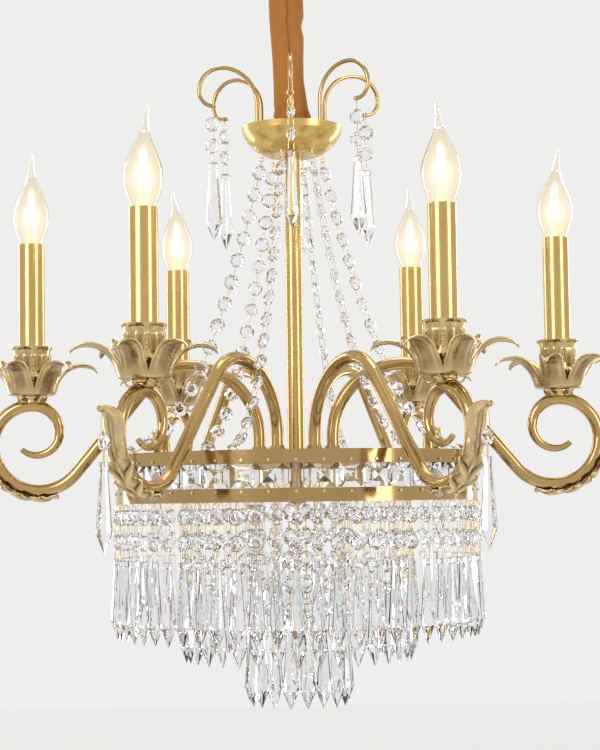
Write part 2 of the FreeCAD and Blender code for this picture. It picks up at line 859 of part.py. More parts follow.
def squares():
    """The row of square crystals between the bands, and the pins that hold their wires."""
    count = int(d.square_count)
    first = -90
    add_part("square_crystals", Part.makeCompound(around(square_crystal(), count, first)))
    head = d.pin_head / 2
    outside = sqrt((d.ring_width / 2) ** 2 - head ** 2)
    pins = []
    for z in (upper_band_z + d.pin_inset, lower_band_z + d.band_height - d.pin_inset):
        shank = Part.makeCylinder(head, head, Vector(outside + 2 * d.rod_clearance, 0, z),
                                  Vector(1, 0, 0))
        pins.append(shank)
    heads = [turned(pin, first + 360 / count * i) for pin in pins for i in range(count)]
    add_part("band_pins", Part.makeCompound(heads))


# ---------------------------------------------------------------- crystals on strands

crystals = {"octagon_crystals": [], "icicle_crystals": [], "crystal_wires": []}
wire_radius = d.crystal_wire / 2


def octagon_bead():
    """An eight-sided bead centred on the origin, its flat tables facing along X."""
    def ring(x, across):
        corner = across / 2 / cos(pi / 8)
        return [Vector(x, corner * cos(pi / 8 + pi / 4 * i), corner * sin(pi / 8 + pi / 4 * i))
                for i in range(8)]

    table = d.bead_thick / 2
    edge = d.bead_edge / 2
    return faceted([ring(-table, d.bead_table), ring(-edge, d.bead_width),
                    ring(edge, d.bead_width), ring(table, d.bead_table)])


def icicle_drop():
    """A long drop hanging from the origin: it widens downwards and ends in a point."""
    def ring(z, share):
        wide = d.drop_width / 2 * share
        deep = d.drop_thick / 2 * share
        return [Vector(deep * a, wide * b, z)
                for a, b in ((0, -1), (1, -0.5), (1, 0.5), (0, 1), (-1, 0.5), (-1, -0.5))]

    shoulder = d.drop_width * 0.18
    return faceted([ring(0, 0.32), ring(-shoulder, 0.66), ring(-(d.drop_length - d.drop_point), 1),
                    [Vector(0, 0, -d.drop_length)]])


bead = octagon_bead()
drop = icicle_drop()


def hang(radius, top_z, beads, first, pitch):
    """A straight strand in the plane y = 0, as lists of beads, drops and wires.

    It hangs from top_z: the first bead's middle lies first below it."""
    half = d.bead_width / 2
    octagons, wires = [], []
    above = top_z
    for i in range(beads):
        middle = top_z - first - i * pitch
        octagons.append(moved(bead, radius, 0, middle))
        wires.append(rod(Vector(radius, 0, above - d.wire_gap),
                         Vector(radius, 0, middle + half + d.wire_gap), wire_radius))
        above = middle - half
    drop_z = above + half - d.drop_hang
    wires.append(rod(Vector(radius, 0, above - d.wire_gap),
                     Vector(radius, 0, drop_z + d.wire_gap), wire_radius))
    return octagons, [moved(drop, radius, 0, drop_z)], wires


def add_strands(strand, count, first=0.0):
    """Turns copies of a strand round the axis and adds them to the three groups."""
    for group, pieces in zip(crystals.values(), strand):
        for piece in pieces:
            group.extend(around(piece, count, first))


def tiers():
    """Three rings of strands under the bands, longest in the middle."""
    add_strands(hang(band_middle, lower_band_z, int(d.outer_beads), d.outer_first, d.bead_pitch),
                int(d.outer_count))
    add_strands(hang(d.middle_tier_radius, tier_z, int(d.middle_beads), d.middle_first,
                     d.bead_pitch), int(d.middle_count))
    add_strands(hang(d.inner_tier_radius, tier_z, int(d.inner_beads), d.inner_first,
                     d.bead_pitch), int(d.inner_count))


def hook_strands():
    """A short strand on each hook, with a wire ring over the hook's wire."""
    ring_radius = hook_section + d.seat_gap + wire_radius
    strand = hang(hook_tip_radius, hook_tip_z - ring_radius - wire_radius, int(d.hook_beads),
                  d.hook_first, d.hook_pitch)
    ring = torus(ring_radius, d.crystal_wire, Vector(hook_tip_radius, 0, hook_tip_z),
                 Vector(1, 0, 0))
    place = Vector(hook_tip_radius, 0, 0)
    for turn, twist in zip(HOOK_TURNS, HOOK_TWISTS):
        pieces = [[twisted(piece, place, UP, twist) for piece in group] for group in strand]
        pieces[2].append(ring)
        add_strands(pieces, 1, turn)


def swag_curve(samples):
    """Points (radius, height) of one sagging strand, from the bowl's eye to the upper band."""
    start_z = eye_place() - d.eye_drop - d.eye_width / 2
    end_z = upper_band_z + d.band_height + d.seat_gap + wire_radius
    run = band_middle - d.swag_radius
    fall = start_z - end_z
    shares = [i / samples for i in range(samples + 1)]
    return [(d.swag_radius + run * share, start_z - fall * (1 - (1 - share) ** d.swag_sag))
            for share in shares]


def swags():
    """Beads strung evenly along the sagging curve, each turned along it, with the strand's twist."""
    points = swag_curve(400)
    lengths = [0.0]
    for (r0, z0), (r1, z1) in zip(points, points[1:]):
        lengths.append(lengths[-1] + hypot(r1 - r0, z1 - z0))
    count = round(lengths[-1] / d.swag_pitch)
    pitch = lengths[-1] / count

    def at(distance):
        for i in range(1, len(points)):
            if lengths[i] >= distance:
                break
        share = (distance - lengths[i - 1]) / (lengths[i] - lengths[i - 1])
        (r0, z0), (r1, z1) = points[i - 1], points[i]
        slope = degrees(atan2(z1 - z0, r1 - r0))
        return r0 + share * (r1 - r0), z0 + share * (z1 - z0), slope

    half = d.bead_width / 2
    octagons, wires = [], []
    end = Vector(points[0][0], 0, points[0][1])
    for i in range(count):
        r, z, slope = at((i + 0.5) * pitch)
        along = Vector(cos(radians(slope)), 0, sin(radians(slope)))
        middle = Vector(r, 0, z)
        tilt = Rotation(Vector(0, 1, 0), -90 - slope)
        piece = bead.copy()
        piece.Placement = Placement(middle, tilt)
        octagons.append((piece, middle, along))
        wires.append(between(end, middle - along * half))
        end = middle + along * half
    wires.append(between(end, Vector(points[-1][0], 0, points[-1][1])))
    for i, twist in enumerate(SWAG_TWISTS):
        beads = [twisted(piece, middle, along, -twist) for piece, middle, along in octagons]
        add_strands((beads, [], wires), 1, d.swag_turn + STEP * i)


def between(start, end):
    """A wire that stops just short of both points."""
    run = (end - start).normalize() * d.wire_gap
    return rod(start + run, end - run, wire_radius)


def crystal_groups():
    """All fixed crystals and wires, one node for each kind."""
    tiers()
    hook_strands()
    swags()
    for name, group in crystals.items():
        add_part(name, Part.makeCompound(group))


# ---------------------------------------------------------------- arms

arm_radius = d.arm_width / 2
arm_valley_z = hub_top_z + d.arm_valley_height
arm_peak_z = hub_top_z + d.arm_peak
candle_radius = d.arm_valley_radius + d.scroll_outer - d.scroll_top
scroll_z = arm_valley_z + d.scroll_outer
scroll_top_z = scroll_z + d.scroll_top


def arm_path(lift):
    """The arm's line from the hub to the top of its scroll, starting lift above the hub."""
    pen = Pen(d.arm_root, hub_top_z + lift, 90)
    pen.line(arm_peak_z - d.arm_rise - pen.z).arc(d.arm_rise, -90)
    run = d.arm_valley_radius - pen.r
    fall = pen.z - arm_valley_z
    bends = d.arm_shoulder + d.arm_dip
    straight = sqrt(run ** 2 + (fall - bends) ** 2 - bends ** 2)
    turn = degrees(atan2(fall - bends, run) + atan2(bends, straight))
    pen.arc(d.arm_shoulder, -turn).line(straight).arc(d.arm_dip, turn)
    pen.arc(d.scroll_outer, 90).arc(d.scroll_top, 90)
    return pen


def scroll_tail():
    """The tapering end that curls inside the scroll, as a loft through round sections."""
    pen = Pen(candle_radius, scroll_top_z, 180)
    pen.mark()
    steps = 5
    for radius, turn in ((d.scroll_inner, 90), (d.scroll_eye, 90), (d.scroll_tip, 45)):
        count = steps if turn == 90 else 3
        for i in range(count):
            pen.arc(radius, turn / count)
            pen.mark()
    last = len(pen.stations) - 1
    sections = []
    for i, (r, z, heading) in enumerate(pen.stations):
        radius = arm_radius + (d.arm_tip_width / 2 - arm_radius) * i / last
        along = Vector(cos(radians(heading)), 0, sin(radians(heading)))
        sections.append(Part.Wire([Part.Circle(Vector(r, 0, z), along, radius).toShape()]))
    return Part.makeLoft(sections, True, False)


def arm():
    """A bent tube with a threaded stub under it, a wire hole above and a curled solid tail."""
    plug = d.arm_width / 2
    tube = pipe(arm_path(0).edges, arm_radius)
    hollow = pipe(arm_path(plug).edges, arm_radius - d.arm_wall)
    stub_z = hub_top_z - d.arm_stub_length
    stub = Part.makeCylinder(d.arm_stub / 2, d.arm_stub_length, Vector(d.arm_root, 0, stub_z))
    bore = Part.makeCylinder(d.arm_stub_bore / 2, d.arm_stub_length + plug,
                             Vector(d.arm_root, 0, stub_z))
    wire_hole = Part.makeCylinder(d.arm_stub_bore / 2, d.arm_width,
                                  Vector(candle_radius, 0, scroll_top_z))
    shell = tube.cut(hollow).fuse(stub).cut(bore)
    return shell.fuse(scroll_tail()).cut(wire_hole)


def arms():
    """Six arms on the hub plate, with a flange over each root and a nut under the plate."""
    add_part("arms", Part.makeCompound(around(arm(), LAMPS)))
    bore = arm_radius + d.rod_clearance
    root = d.arm_root
    wide = d.flange_width / 2
    outline = flat([(bore, hub_top_z), (wide, hub_top_z), (wide, hub_top_z + 1),
                    (bore + 1, hub_top_z + d.flange_height), (bore, hub_top_z + d.flange_height)])
    flange = moved(outline.revolve(ORIGIN, UP, 360), root, 0, 0)
    add_part("arm_flanges", Part.makeCompound(around(flange, LAMPS)))
    arm_nut = hexagon(d.arm_nut_across, d.arm_nut_thick, hub_z - d.arm_nut_thick,
                      d.arm_stub + 2 * d.rod_clearance)
    bowl_nut = hexagon(d.rod_nut_across, d.rod_nut_thick, rod_nut_z, rod_bore)
    nuts = around(moved(arm_nut, root, 0, 0), LAMPS) + [bowl_nut]
    add_part("lock_nuts", Part.makeCompound(nuts))


leaf_offset = arm_radius + d.seat_gap + d.leaf_stand + d.leaf_thick / 2
leaf_radius = d.scroll_outer + leaf_offset


def leaf_pen():
    """Walks along the middle of the leaf, from its root under the arm to its curled tip."""
    pen = Pen(d.arm_valley_radius - leaf_radius * sin(radians(20)),
              scroll_z - leaf_radius * cos(radians(20)), -20)
    pen.mark()
    for i in range(5):
        pen.arc(leaf_radius, 20)
        pen.mark()
    pen.line(d.leaf_run / 2).mark()
    pen.line(d.leaf_run / 2).mark()
    pen.arc(d.leaf_curl, -40).mark()
    pen.arc(d.leaf_curl, -40).mark()
    pen.arc(d.leaf_curl, -30).mark()
    return pen


leaf_tip = leaf_pen()
leaf_hole_radius, leaf_hole_z = leaf_tip.stations[9][:2]


def leaf():
    """A long cast leaf with lobed edges that hugs the scroll and curls out at its tip."""
    shares = (0.34, 0.88, 0.70, 1.0, 0.78, 0.97, 0.68, 0.80, 0.62, 0.58, 0.22)
    sections = []
    for (r, z, heading), share in zip(leaf_tip.stations, shares):
        across = Vector(-sin(radians(heading)), 0, cos(radians(heading))) * (d.leaf_thick / 2)
        side = Vector(0, d.leaf_width / 2 * share, 0)
        place = Vector(r, 0, z)
        corners = [place + across + side, place - across + side,
                   place - across - side, place + across - side]
        sections.append(Part.makePolygon(corners + corners[:1]))
    blade = Part.makeLoft(sections, True, True)
    hole = Part.makeCylinder(d.leaf_hole / 2, 4 * d.leaf_thick,
                             Vector(leaf_hole_radius, 0, leaf_hole_z - 2 * d.leaf_thick))
    return blade.cut(hole)


# ---------------------------------------------------------------- candles and bulbs

neck_z = scroll_top_z + arm_radius + d.neck_rise
bobeche_z = neck_z
cup_z = bobeche_z + d.bobeche_wall
candle_z = cup_z + d.cup_seat
candle_top_z = candle_z + d.candle_length
holder_z = cup_z + d.cup_floor
holder_top_z = candle_top_z - d.holder_below
lamp_bore = d.nipple_width / 2 + d.rod_clearance


def neck_collar():
    """A short collar that saddles the arm's top and carries the candle, on its own axis."""
    collar = Part.makeCylinder(d.neck_width / 2, d.neck_height,
                               Vector(candle_radius, 0, neck_z - d.neck_height))
    bore = Part.makeCylinder(lamp_bore, d.neck_height,
                             Vector(candle_radius, 0, neck_z - d.neck_height))
    reach = 45
    pen = Pen(candle_radius, scroll_top_z, 180)
    pen.arc(d.scroll_inner, reach)
    inner = pipe(pen.edges, arm_radius + d.rod_clearance)
    pen = Pen(candle_radius + d.scroll_top * sin(radians(reach)),
              scroll_z + d.scroll_top * cos(radians(reach)), 180 - reach)
    pen.arc(d.scroll_top, reach)
    outer = pipe(pen.edges, arm_radius + d.rod_clearance)
    return collar.cut(bore).cut(inner).cut(outer)


def petal_outline():
    """Six pointed petals round a disc, as one tall prism. The petals part at the disc's edge."""
    waist = d.bobeche_waist / 2
    reach = d.bobeche_width / 2
    tall = 2 * d.bobeche_height
    base = bobeche_z - d.bobeche_height / 2
    inner = waist * 0.6
    root_half = waist / sqrt(3)
    crest = d.bobeche_crest / 2 - d.petal_width / 2
    crest_half = d.petal_width / 2
    root = Vector(inner, -root_half, base)
    tip = Vector(reach, 0, base)
    back = Vector(inner, root_half, base)
    side = Part.Arc(root, Vector(crest, -crest_half, base), tip).toShape()
    other = Part.Arc(tip, Vector(crest, crest_half, base), back).toShape()
    petal = Part.Face(Part.Wire([side, other, Part.makeLine(back, root)]))
    prism = petal.extrude(Vector(0, 0, tall))
    star = Part.makeCylinder(waist, tall, Vector(0, 0, base))
    return star.multiFuse(around(prism, 6))


def bobeche():
    """A dish of six curled petals: a flat floor, a rising side and drooping tips."""
    wall = d.bobeche_wall
    floor = d.bobeche_floor / 2
    crest = d.bobeche_crest / 2
    reach = d.bobeche_width / 2 + 2
    top = bobeche_z + d.bobeche_height
    tip = top - d.bobeche_droop
    rise = (floor + (crest - floor) * 0.29, bobeche_z + d.bobeche_height * 0.56)
    fall = (crest + (reach - crest) * 0.55, top - d.bobeche_droop * 0.26)
    low = [(lamp_bore, bobeche_z), (floor, bobeche_z), (crest, top - wall), (reach, tip - wall)]
    high = [(lamp_bore, bobeche_z + wall), (floor - wall / 2, bobeche_z + wall), (crest, top),
            (reach, tip)]
    dish = spun([
        segment(low[0], low[1]), curve(low[1], rise, low[2]),
        curve(low[2], (fall[0], fall[1] - wall), low[3]), segment(low[3], high[3]),
        curve(high[3], fall, high[2]), curve(high[2], (rise[0] - wall, rise[1]), high[1]),
        segment(high[1], high[0]), segment(high[0], low[0])])
    return dish.common(petal_outline())


def socket_cup():
    """The cup that holds the candle tube: a foot, a waist and a flared rim, on the axis."""
    rim = d.cup_rim / 2
    waist = d.cup_waist / 2
    foot = d.cup_foot / 2
    top = cup_z + d.cup_height
    seat = d.candle_width / 2 + d.seat_gap
    ledge = d.candle_width / 2 - d.candle_wall - d.seat_gap
    outline = [(lamp_bore, cup_z), (foot, cup_z), (waist, cup_z + d.cup_height * 0.34),
               (waist - 0.8, cup_z + d.cup_height * 0.50), (waist + 1, cup_z + d.cup_height * 0.76),
               (rim, top), (rim - 1.5, top), (seat, top - 6), (seat, candle_z), (ledge, candle_z),
               (ledge, holder_z), (lamp_bore, holder_z)]
    return flat(outline).revolve(ORIGIN, UP, 360)


def lampholder():
    """A stem on the lamp's nipple with a screw socket at the top of the candle."""
    stem = d.holder_stem / 2
    body = d.holder_width / 2
    socket = d.cap_width / 2 + d.screw_clearance
    body_z = holder_top_z - d.holder_depth
    nipple_top = neck_z - d.neck_height + d.lamp_nipple_length + d.neck_rise
    floor = holder_top_z - d.cap_length - d.contact_length - d.seat_gap
    outline = [(0, nipple_top + 2), (lamp_bore, nipple_top + 2), (lamp_bore, holder_z),
               (stem, holder_z), (stem, body_z), (body, body_z + 3), (body, holder_top_z),
               (socket, holder_top_z), (socket, floor), (0, floor)]
    return flat(outline).revolve(ORIGIN, UP, 360)


def at_candles(shape):
    """Copies of a shape modelled on the axis, one on each candle's axis."""
    return Part.makeCompound(around(moved(shape, candle_radius, 0, 0), LAMPS))


def candles():
    """Leaf, neck, bobeche, cup, candle tube and lampholder on each arm."""
    add_part("arm_leaves", Part.makeCompound(around(leaf(), LAMPS)))
    add_part("neck_collars", Part.makeCompound(around(neck_collar(), LAMPS)))
    nipple_z = scroll_top_z + arm_radius + d.seat_gap
    nipple = Part.makeCylinder(d.nipple_width / 2, d.lamp_nipple_length, Vector(0, 0, nipple_z))
    nipple = nipple.cut(Part.makeCylinder(d.nipple_bore / 2, d.lamp_nipple_length,
                                          Vector(0, 0, nipple_z)))
    add_part("lamp_nipples", at_candles(nipple))
    dish = bobeche()
    dishes = [turned(moved(turned(dish, turn), candle_radius, 0, 0), STEP * i)
              for i, turn in enumerate(DISH_TURNS)]
    add_part("bobeches", Part.makeCompound(dishes))
    add_part("socket_cups", at_candles(socket_cup()))
    outside = Part.makeCylinder(d.candle_width / 2, d.candle_length, Vector(0, 0, candle_z))
    inside = Part.makeCylinder(d.candle_width / 2 - d.candle_wall, d.candle_length,
                               Vector(0, 0, candle_z))
    add_part("candle_tubes", at_candles(outside.cut(inside)))
    add_part("lampholders", at_candles(lampholder()))


def bulb_cap():
    """The brass screw cap with its end contact, on the axis."""
    top = holder_top_z
    cap = d.cap_width / 2
    contact = d.contact_width / 2
    outline = [(0, top), (0, top - d.cap_length - d.contact_length),
               (contact, top - d.cap_length - d.contact_length), (contact, top - d.cap_length),
               (cap, top - d.cap_length + 2), (cap, top)]
    return flat(outline).revolve(ORIGIN, UP, 360)


def bulb_glass():
    """A flame-shaped glass, open at its neck, whose tip leans to one side."""
    neck = d.glass_neck / 2
    wide = d.glass_width / 2
    tall = d.glass_length
    # share of the height, radius, share of the bend
    profile = ((0.0, neck, 0.0), (0.12, neck * 1.37, 0.0), (0.24, wide * 0.85, 0.0),
               (0.38, wide, 0.0), (0.52, wide * 0.86, 0.02), (0.66, wide * 0.52, 0.12),
               (0.78, wide * 0.26, 0.34), (0.89, wide * 0.13, 0.66), (1.0, wide * 0.05, 1.0))

    def skin(stations, inset):
        rings = []
        for share, radius, bend in stations:
            z = holder_top_z + share * (tall - inset)
            centre = Vector(bend * d.glass_bend, 0, z)
            rings.append(Part.Wire([Part.Circle(centre, UP, radius - inset).toShape()]))
        return Part.makeLoft(rings, True, False)

    hollow = skin(profile[:-2], d.glass_wall)
    return skin(profile, 0).cut(hollow)


def bulbs():
    """Each bulb turns in its own holder, so its glass and cap are parts of their own."""
    cap = bulb_cap()
    glass = bulb_glass()
    for i in range(LAMPS):
        place = Placement(Vector(candle_radius, 0, 0), Rotation(UP, 37 * i))
        for name, shape in (("bulb_cap", cap), ("bulb_glass", glass)):
            piece = shape.copy()
            piece.Placement = place.multiply(piece.Placement)
            add_part(f"{name}_{i + 1}", turned(piece, STEP * i))


def arm_drops():
    """The strand at each leaf's tip: a head pin through the leaf, a bead edge-on and a drop."""
    octagons, drops, wires = hang(leaf_hole_radius, leaf_hole_z, 1, d.arm_drop_first,
                                  d.bead_pitch)
    head = leaf_hole_z + d.head_rise
    pin = rod(Vector(leaf_hole_radius, 0, head),
              Vector(leaf_hole_radius, 0,
                     leaf_hole_z - d.arm_drop_first + d.bead_width / 2 + d.wire_gap), wire_radius)
    ball = Part.makeSphere(d.head_width / 2, Vector(leaf_hole_radius, 0, head))
    place = Vector(leaf_hole_radius, 0, 0)
    octagons = [twisted(piece, place, UP, 90) for piece in octagons]
    wires = [pin.fuse(ball)] + wires[1:]
    for i in range(LAMPS):
        crystals_here = [turned(piece, STEP * i) for piece in octagons + drops]
        wires_here = [turned(piece, STEP * i) for piece in wires]
        add_part(f"arm_drop_crystals_{i + 1}", Part.makeCompound(crystals_here))
        add_part(f"arm_drop_wires_{i + 1}", Part.makeCompound(wires_here))


# ---------------------------------------------------------------- the whole light

ceiling_fitting()
chain_and_sleeve()
top_of_body()
column()
hub_plate()
rings()
squares()
crystal_groups()
arms()
candles()
bulbs()
arm_drops()
doc.recompute()

for thing in doc.Objects:
    if "Invalid" in thing.State or "Error" in thing.State:
        raise RuntimeError(f"{thing.Name} failed: {thing.State}")
for part in parts:
    if part.Shape.isNull() or not part.Shape.isValid():
        raise RuntimeError(f"{part.Label} has no valid shape")
    if any(solid.Volume <= 0 for solid in part.Shape.Solids) or not part.Shape.Solids:
        raise RuntimeError(f"{part.Label} has a solid without volume")

os.makedirs("parts", exist_ok=True)
for part in parts:
    part.Shape.exportStep(f"parts/{part.Label}.step")
box = Part.makeCompound([part.Shape for part in parts]).BoundBox
print(f"{len(parts)} parts, {sum(len(part.Shape.Solids) for part in parts)} solids")
print(f"box {box.XMin:.1f} {box.YMin:.1f} {box.ZMin:.1f} to {box.XMax:.1f} {box.YMax:.1f} {box.ZMax:.1f}")
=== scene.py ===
import json
import random
from math import atan2, cos, degrees, exp, hypot, pi, radians, sin

import bpy
import numpy as np
from mathutils import Matrix, Vector


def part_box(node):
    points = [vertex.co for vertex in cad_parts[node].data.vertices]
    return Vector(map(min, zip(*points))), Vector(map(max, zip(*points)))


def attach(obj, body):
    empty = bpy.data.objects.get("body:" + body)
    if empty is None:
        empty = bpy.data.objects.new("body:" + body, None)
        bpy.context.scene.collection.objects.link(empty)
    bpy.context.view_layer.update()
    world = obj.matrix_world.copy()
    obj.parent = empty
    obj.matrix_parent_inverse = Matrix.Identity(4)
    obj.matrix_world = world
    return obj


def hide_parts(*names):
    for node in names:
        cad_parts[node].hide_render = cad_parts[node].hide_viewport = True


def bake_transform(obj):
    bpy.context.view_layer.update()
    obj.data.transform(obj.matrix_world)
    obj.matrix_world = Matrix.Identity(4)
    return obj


# A six-arm crystal chandelier: its brass and glass finishes, the cast leaves and petals, the cut
# crystals with their wires, the lamps' filaments and the cloth sleeve over the chain. Metres.

MM = 0.001
LAMPS = 6
STEP = 2 * pi / LAMPS
LIGHT = "light"
IMAGE_HEIGHT = 750

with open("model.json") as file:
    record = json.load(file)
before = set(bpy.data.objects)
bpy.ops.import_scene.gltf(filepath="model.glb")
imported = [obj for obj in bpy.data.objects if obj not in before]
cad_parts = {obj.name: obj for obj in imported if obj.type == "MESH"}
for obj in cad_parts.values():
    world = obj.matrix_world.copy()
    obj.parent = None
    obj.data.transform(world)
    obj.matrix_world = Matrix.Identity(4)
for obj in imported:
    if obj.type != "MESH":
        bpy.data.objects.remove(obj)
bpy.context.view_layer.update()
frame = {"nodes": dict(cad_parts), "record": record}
nodes = frame["nodes"]


# ---------------------------------------------------------------- camera, floor and lamps

HORIZON_Z = -549.6 * MM
CAMERA_DISTANCE = 1785 * MM
CAMERA_SIDE = 3.0 * MM
FOCAL_PIXELS = 1850
HORIZON_ROW = 500
CAMERA_ROLL = 0.79
SENSOR = 36.0
FLOOR_Z = -2.4
FLOOR_SIZE = 30
STUDIO_WHITE = (1.0, 0.995, 0.985, 1)
BACKGROUND = 0.86
AMBIENT = 0.42
FLOOR_GLOW = 0.45


def add_camera():
    """The photograph's view: level with the rings, tilted up towards the candles."""
    pitch = degrees(atan2(HORIZON_ROW - IMAGE_HEIGHT / 2, FOCAL_PIXELS))
    turn = (radians(90 + pitch), radians(CAMERA_ROLL), 0)
    bpy.ops.object.camera_add(location=(CAMERA_SIDE, -CAMERA_DISTANCE, HORIZON_Z), rotation=turn)
    camera = bpy.context.object
    camera.data.sensor_fit = "VERTICAL"
    camera.data.sensor_height = SENSOR
    camera.data.lens = FOCAL_PIXELS / IMAGE_HEIGHT * SENSOR
    camera.data.clip_start = 0.01
    bpy.context.scene.camera = camera


def add_node(tree, kind, inputs=None, **settings):
    """A shader node with its settings, and with values on some of its inputs."""
    node = tree.nodes.new("ShaderNode" + kind)
    for name, value in settings.items():
        setattr(node, name, value)
    for socket, value in (inputs or {}).items():
        node.inputs[socket].default_value = value
    return node


def add_panel(name, place, target, width, height, watts, tint):
    """A soft rectangular lamp that faces a point."""
    aim = (Vector(target) - Vector(place)).to_track_quat("-Z", "Y").to_euler()
    bpy.ops.object.light_add(type="AREA", location=place, rotation=aim)
    lamp = bpy.context.object
    lamp.name = name
    lamp.data.shape = "RECTANGLE"
    lamp.data.size = width
    lamp.data.size_y = height
    lamp.data.energy = watts
    lamp.data.color = tint


def add_lights():
    """Three soft panels in front and above, and two strips that edge the brass from behind."""
    middle = (0, 0, -0.45)
    warm = (1.0, 0.97, 0.93)
    cool = (0.95, 0.97, 1.0)
    add_panel("key_panel", (-1.5, -1.9, 0.35), middle, 0.9, 1.4, 22, warm)
    add_panel("fill_panel", (1.8, -1.5, -0.1), middle, 0.7, 1.5, 14, cool)
    add_panel("top_panel", (0.2, 0.3, 1.3), middle, 1.2, 1.2, 12, warm)
    add_panel("back_left_strip", (-1.5, 1.3, -0.3), middle, 0.25, 1.6, 9, cool)
    add_panel("back_right_strip", (1.4, 1.5, -0.3), middle, 0.25, 1.6, 9, warm)


def set_colours():
    """Plain display colours, so that the finishes keep their own values."""
    bpy.context.scene.view_settings.view_transform = "Standard"


def add_world():
    """White to the camera and in reflections, softer as light."""
    world = bpy.data.worlds.new("studio")
    world.use_nodes = True
    tree = world.node_tree
    tree.nodes.clear()
    seen = add_node(tree, "Background", {"Color": STUDIO_WHITE, "Strength": BACKGROUND})
    ambient = add_node(tree, "Background", {"Color": STUDIO_WHITE, "Strength": AMBIENT})
    mix = add_node(tree, "MixShader")
    out = add_node(tree, "OutputWorld")
    tree.links.new(seen_directly(tree), mix.inputs["Fac"])
    tree.links.new(ambient.outputs[0], mix.inputs[1])
    tree.links.new(seen.outputs[0], mix.inputs[2])
    tree.links.new(mix.outputs[0], out.inputs["Surface"])
    bpy.context.scene.world = world


def seen_directly(tree):
    """A mask that is 1 for what the camera, a reflection or glass sees, and 0 for light."""
    path = add_node(tree, "LightPath")
    mask = path.outputs["Is Camera Ray"]
    for ray in ("Is Glossy Ray", "Is Transmission Ray"):
        either = add_node(tree, "Math", operation="MAXIMUM")
        tree.links.new(mask, either.inputs[0])
        tree.links.new(path.outputs[ray], either.inputs[1])
        mask = either.outputs[0]
    return mask


def add_floor():
    """A plain floor, made paler to the eye than the light on it alone would."""
    bpy.ops.mesh.primitive_plane_add(size=FLOOR_SIZE, location=(0, 0, FLOOR_Z))
    floor = bpy.context.object
    floor.name = "studio_floor"
    material, tree, shader = new_material("pale_floor", {
        "Roughness": 0.8, "Emission Color": STUDIO_WHITE})
    mottle(tree, shader, (0.80, 0.79, 0.77), (0.84, 0.83, 0.81), 0.8)
    glow = add_node(tree, "Math", {1: FLOOR_GLOW}, operation="MULTIPLY")
    tree.links.new(seen_directly(tree), glow.inputs[0])
    tree.links.new(glow.outputs[0], shader.inputs["Emission Strength"])
    floor.data.materials.append(material)


# ---------------------------------------------------------------- materials

MIX_A, MIX_B, MIX_RESULT = 6, 7, 2  # the colour sockets of a mix node
NOISE_LOW, NOISE_HIGH = 0.3, 0.7
LINE_DEPTH = 0.02
CAST_GRAIN = 1400
CAST_DEPTH = 0.12
NAP_DEPTH = 0.25
CRYSTAL_TINT = (0.94, 0.94, 0.95, 1)
# share of the painted spectral glints in the crystal's colour
PAINTED_GLINT_SHARE = 0.06
# strength of the glow painted on the lamps' glass
PAINTED_GLASS_GLOW = 0.13


def new_material(name, inputs):
    """A node material, its tree, and its shader with values on some of its inputs."""
    material = bpy.data.materials.new(name)
    material.use_nodes = True
    tree = material.node_tree
    shader = tree.nodes["Principled BSDF"]
    for socket, value in inputs.items():
        shader.inputs[socket].default_value = value
    return material, tree, shader


def new_group(name, inputs, outputs):
    """An empty shader group with named sockets, and its two end nodes."""
    group = bpy.data.node_groups.new(name, "ShaderNodeTree")
    for label, kind, value in inputs:
        socket = group.interface.new_socket(label, in_out="INPUT", socket_type=kind)
        socket.default_value = value
    for label, kind in outputs:
        group.interface.new_socket(label, in_out="OUTPUT", socket_type=kind)
    return group, group.nodes.new("NodeGroupInput"), group.nodes.new("NodeGroupOutput")


def brushing_group():
    """Fine parallel lines, and a slow cloud across them. Stretch sets the lines' direction."""
    group, ins, outs = new_group(
        "brushing",
        [("Stretch", "NodeSocketVector", (1, 1, 1)), ("Fineness", "NodeSocketFloat", 900)],
        [("Mask", "NodeSocketFloat"), ("Cloud", "NodeSocketFloat")])
    links = group.links
    place = add_node(group, "TexCoord")
    spread = add_node(group, "VectorMath", operation="MULTIPLY")
    lines = add_node(group, "TexNoise", {"Detail": 3})
    cloud = add_node(group, "TexNoise", {"Scale": 28, "Detail": 4})
    links.new(place.outputs["Object"], spread.inputs[0])
    links.new(ins.outputs["Stretch"], spread.inputs[1])
    links.new(spread.outputs[0], lines.inputs["Vector"])
    links.new(ins.outputs["Fineness"], lines.inputs["Scale"])
    links.new(place.outputs["Object"], cloud.inputs["Vector"])
    links.new(lines.outputs["Fac"], outs.inputs["Mask"])
    links.new(cloud.outputs["Fac"], outs.inputs["Cloud"])
    return group


def casting_group():
    """How dark a place is painted by its depth in the relief, patina deepened by painted shade, broken
    up by a cloud; and a fine cast grain.
    """
    group, ins, outs = new_group(
        "casting", [("Grain", "NodeSocketFloat", CAST_GRAIN)],
        [("Patina and shade", "NodeSocketFloat"), ("Grain", "NodeSocketFloat")])
    links = group.links
    place = add_node(group, "TexCoord")
    grain = add_node(group, "TexNoise", {"Detail": 5})
    cloud = add_node(group, "TexNoise", {"Scale": 110, "Detail": 3})
    depth = add_node(group, "Attribute", attribute_name="patina_and_shade")
    soft = add_node(group, "Math", {1: 0.5, 2: -0.15}, operation="MULTIPLY_ADD")
    total = add_node(group, "Math", operation="ADD", use_clamp=True)
    links.new(place.outputs["Object"], grain.inputs["Vector"])
    links.new(ins.outputs["Grain"], grain.inputs["Scale"])
    links.new(place.outputs["Object"], cloud.inputs["Vector"])
    links.new(cloud.outputs["Fac"], soft.inputs[0])
    links.new(soft.outputs[0], total.inputs[0])
    links.new(depth.outputs["Fac"], total.inputs[1])
    links.new(total.outputs[0], outs.inputs["Patina and shade"])
    links.new(grain.outputs["Fac"], outs.inputs["Grain"])
    return group


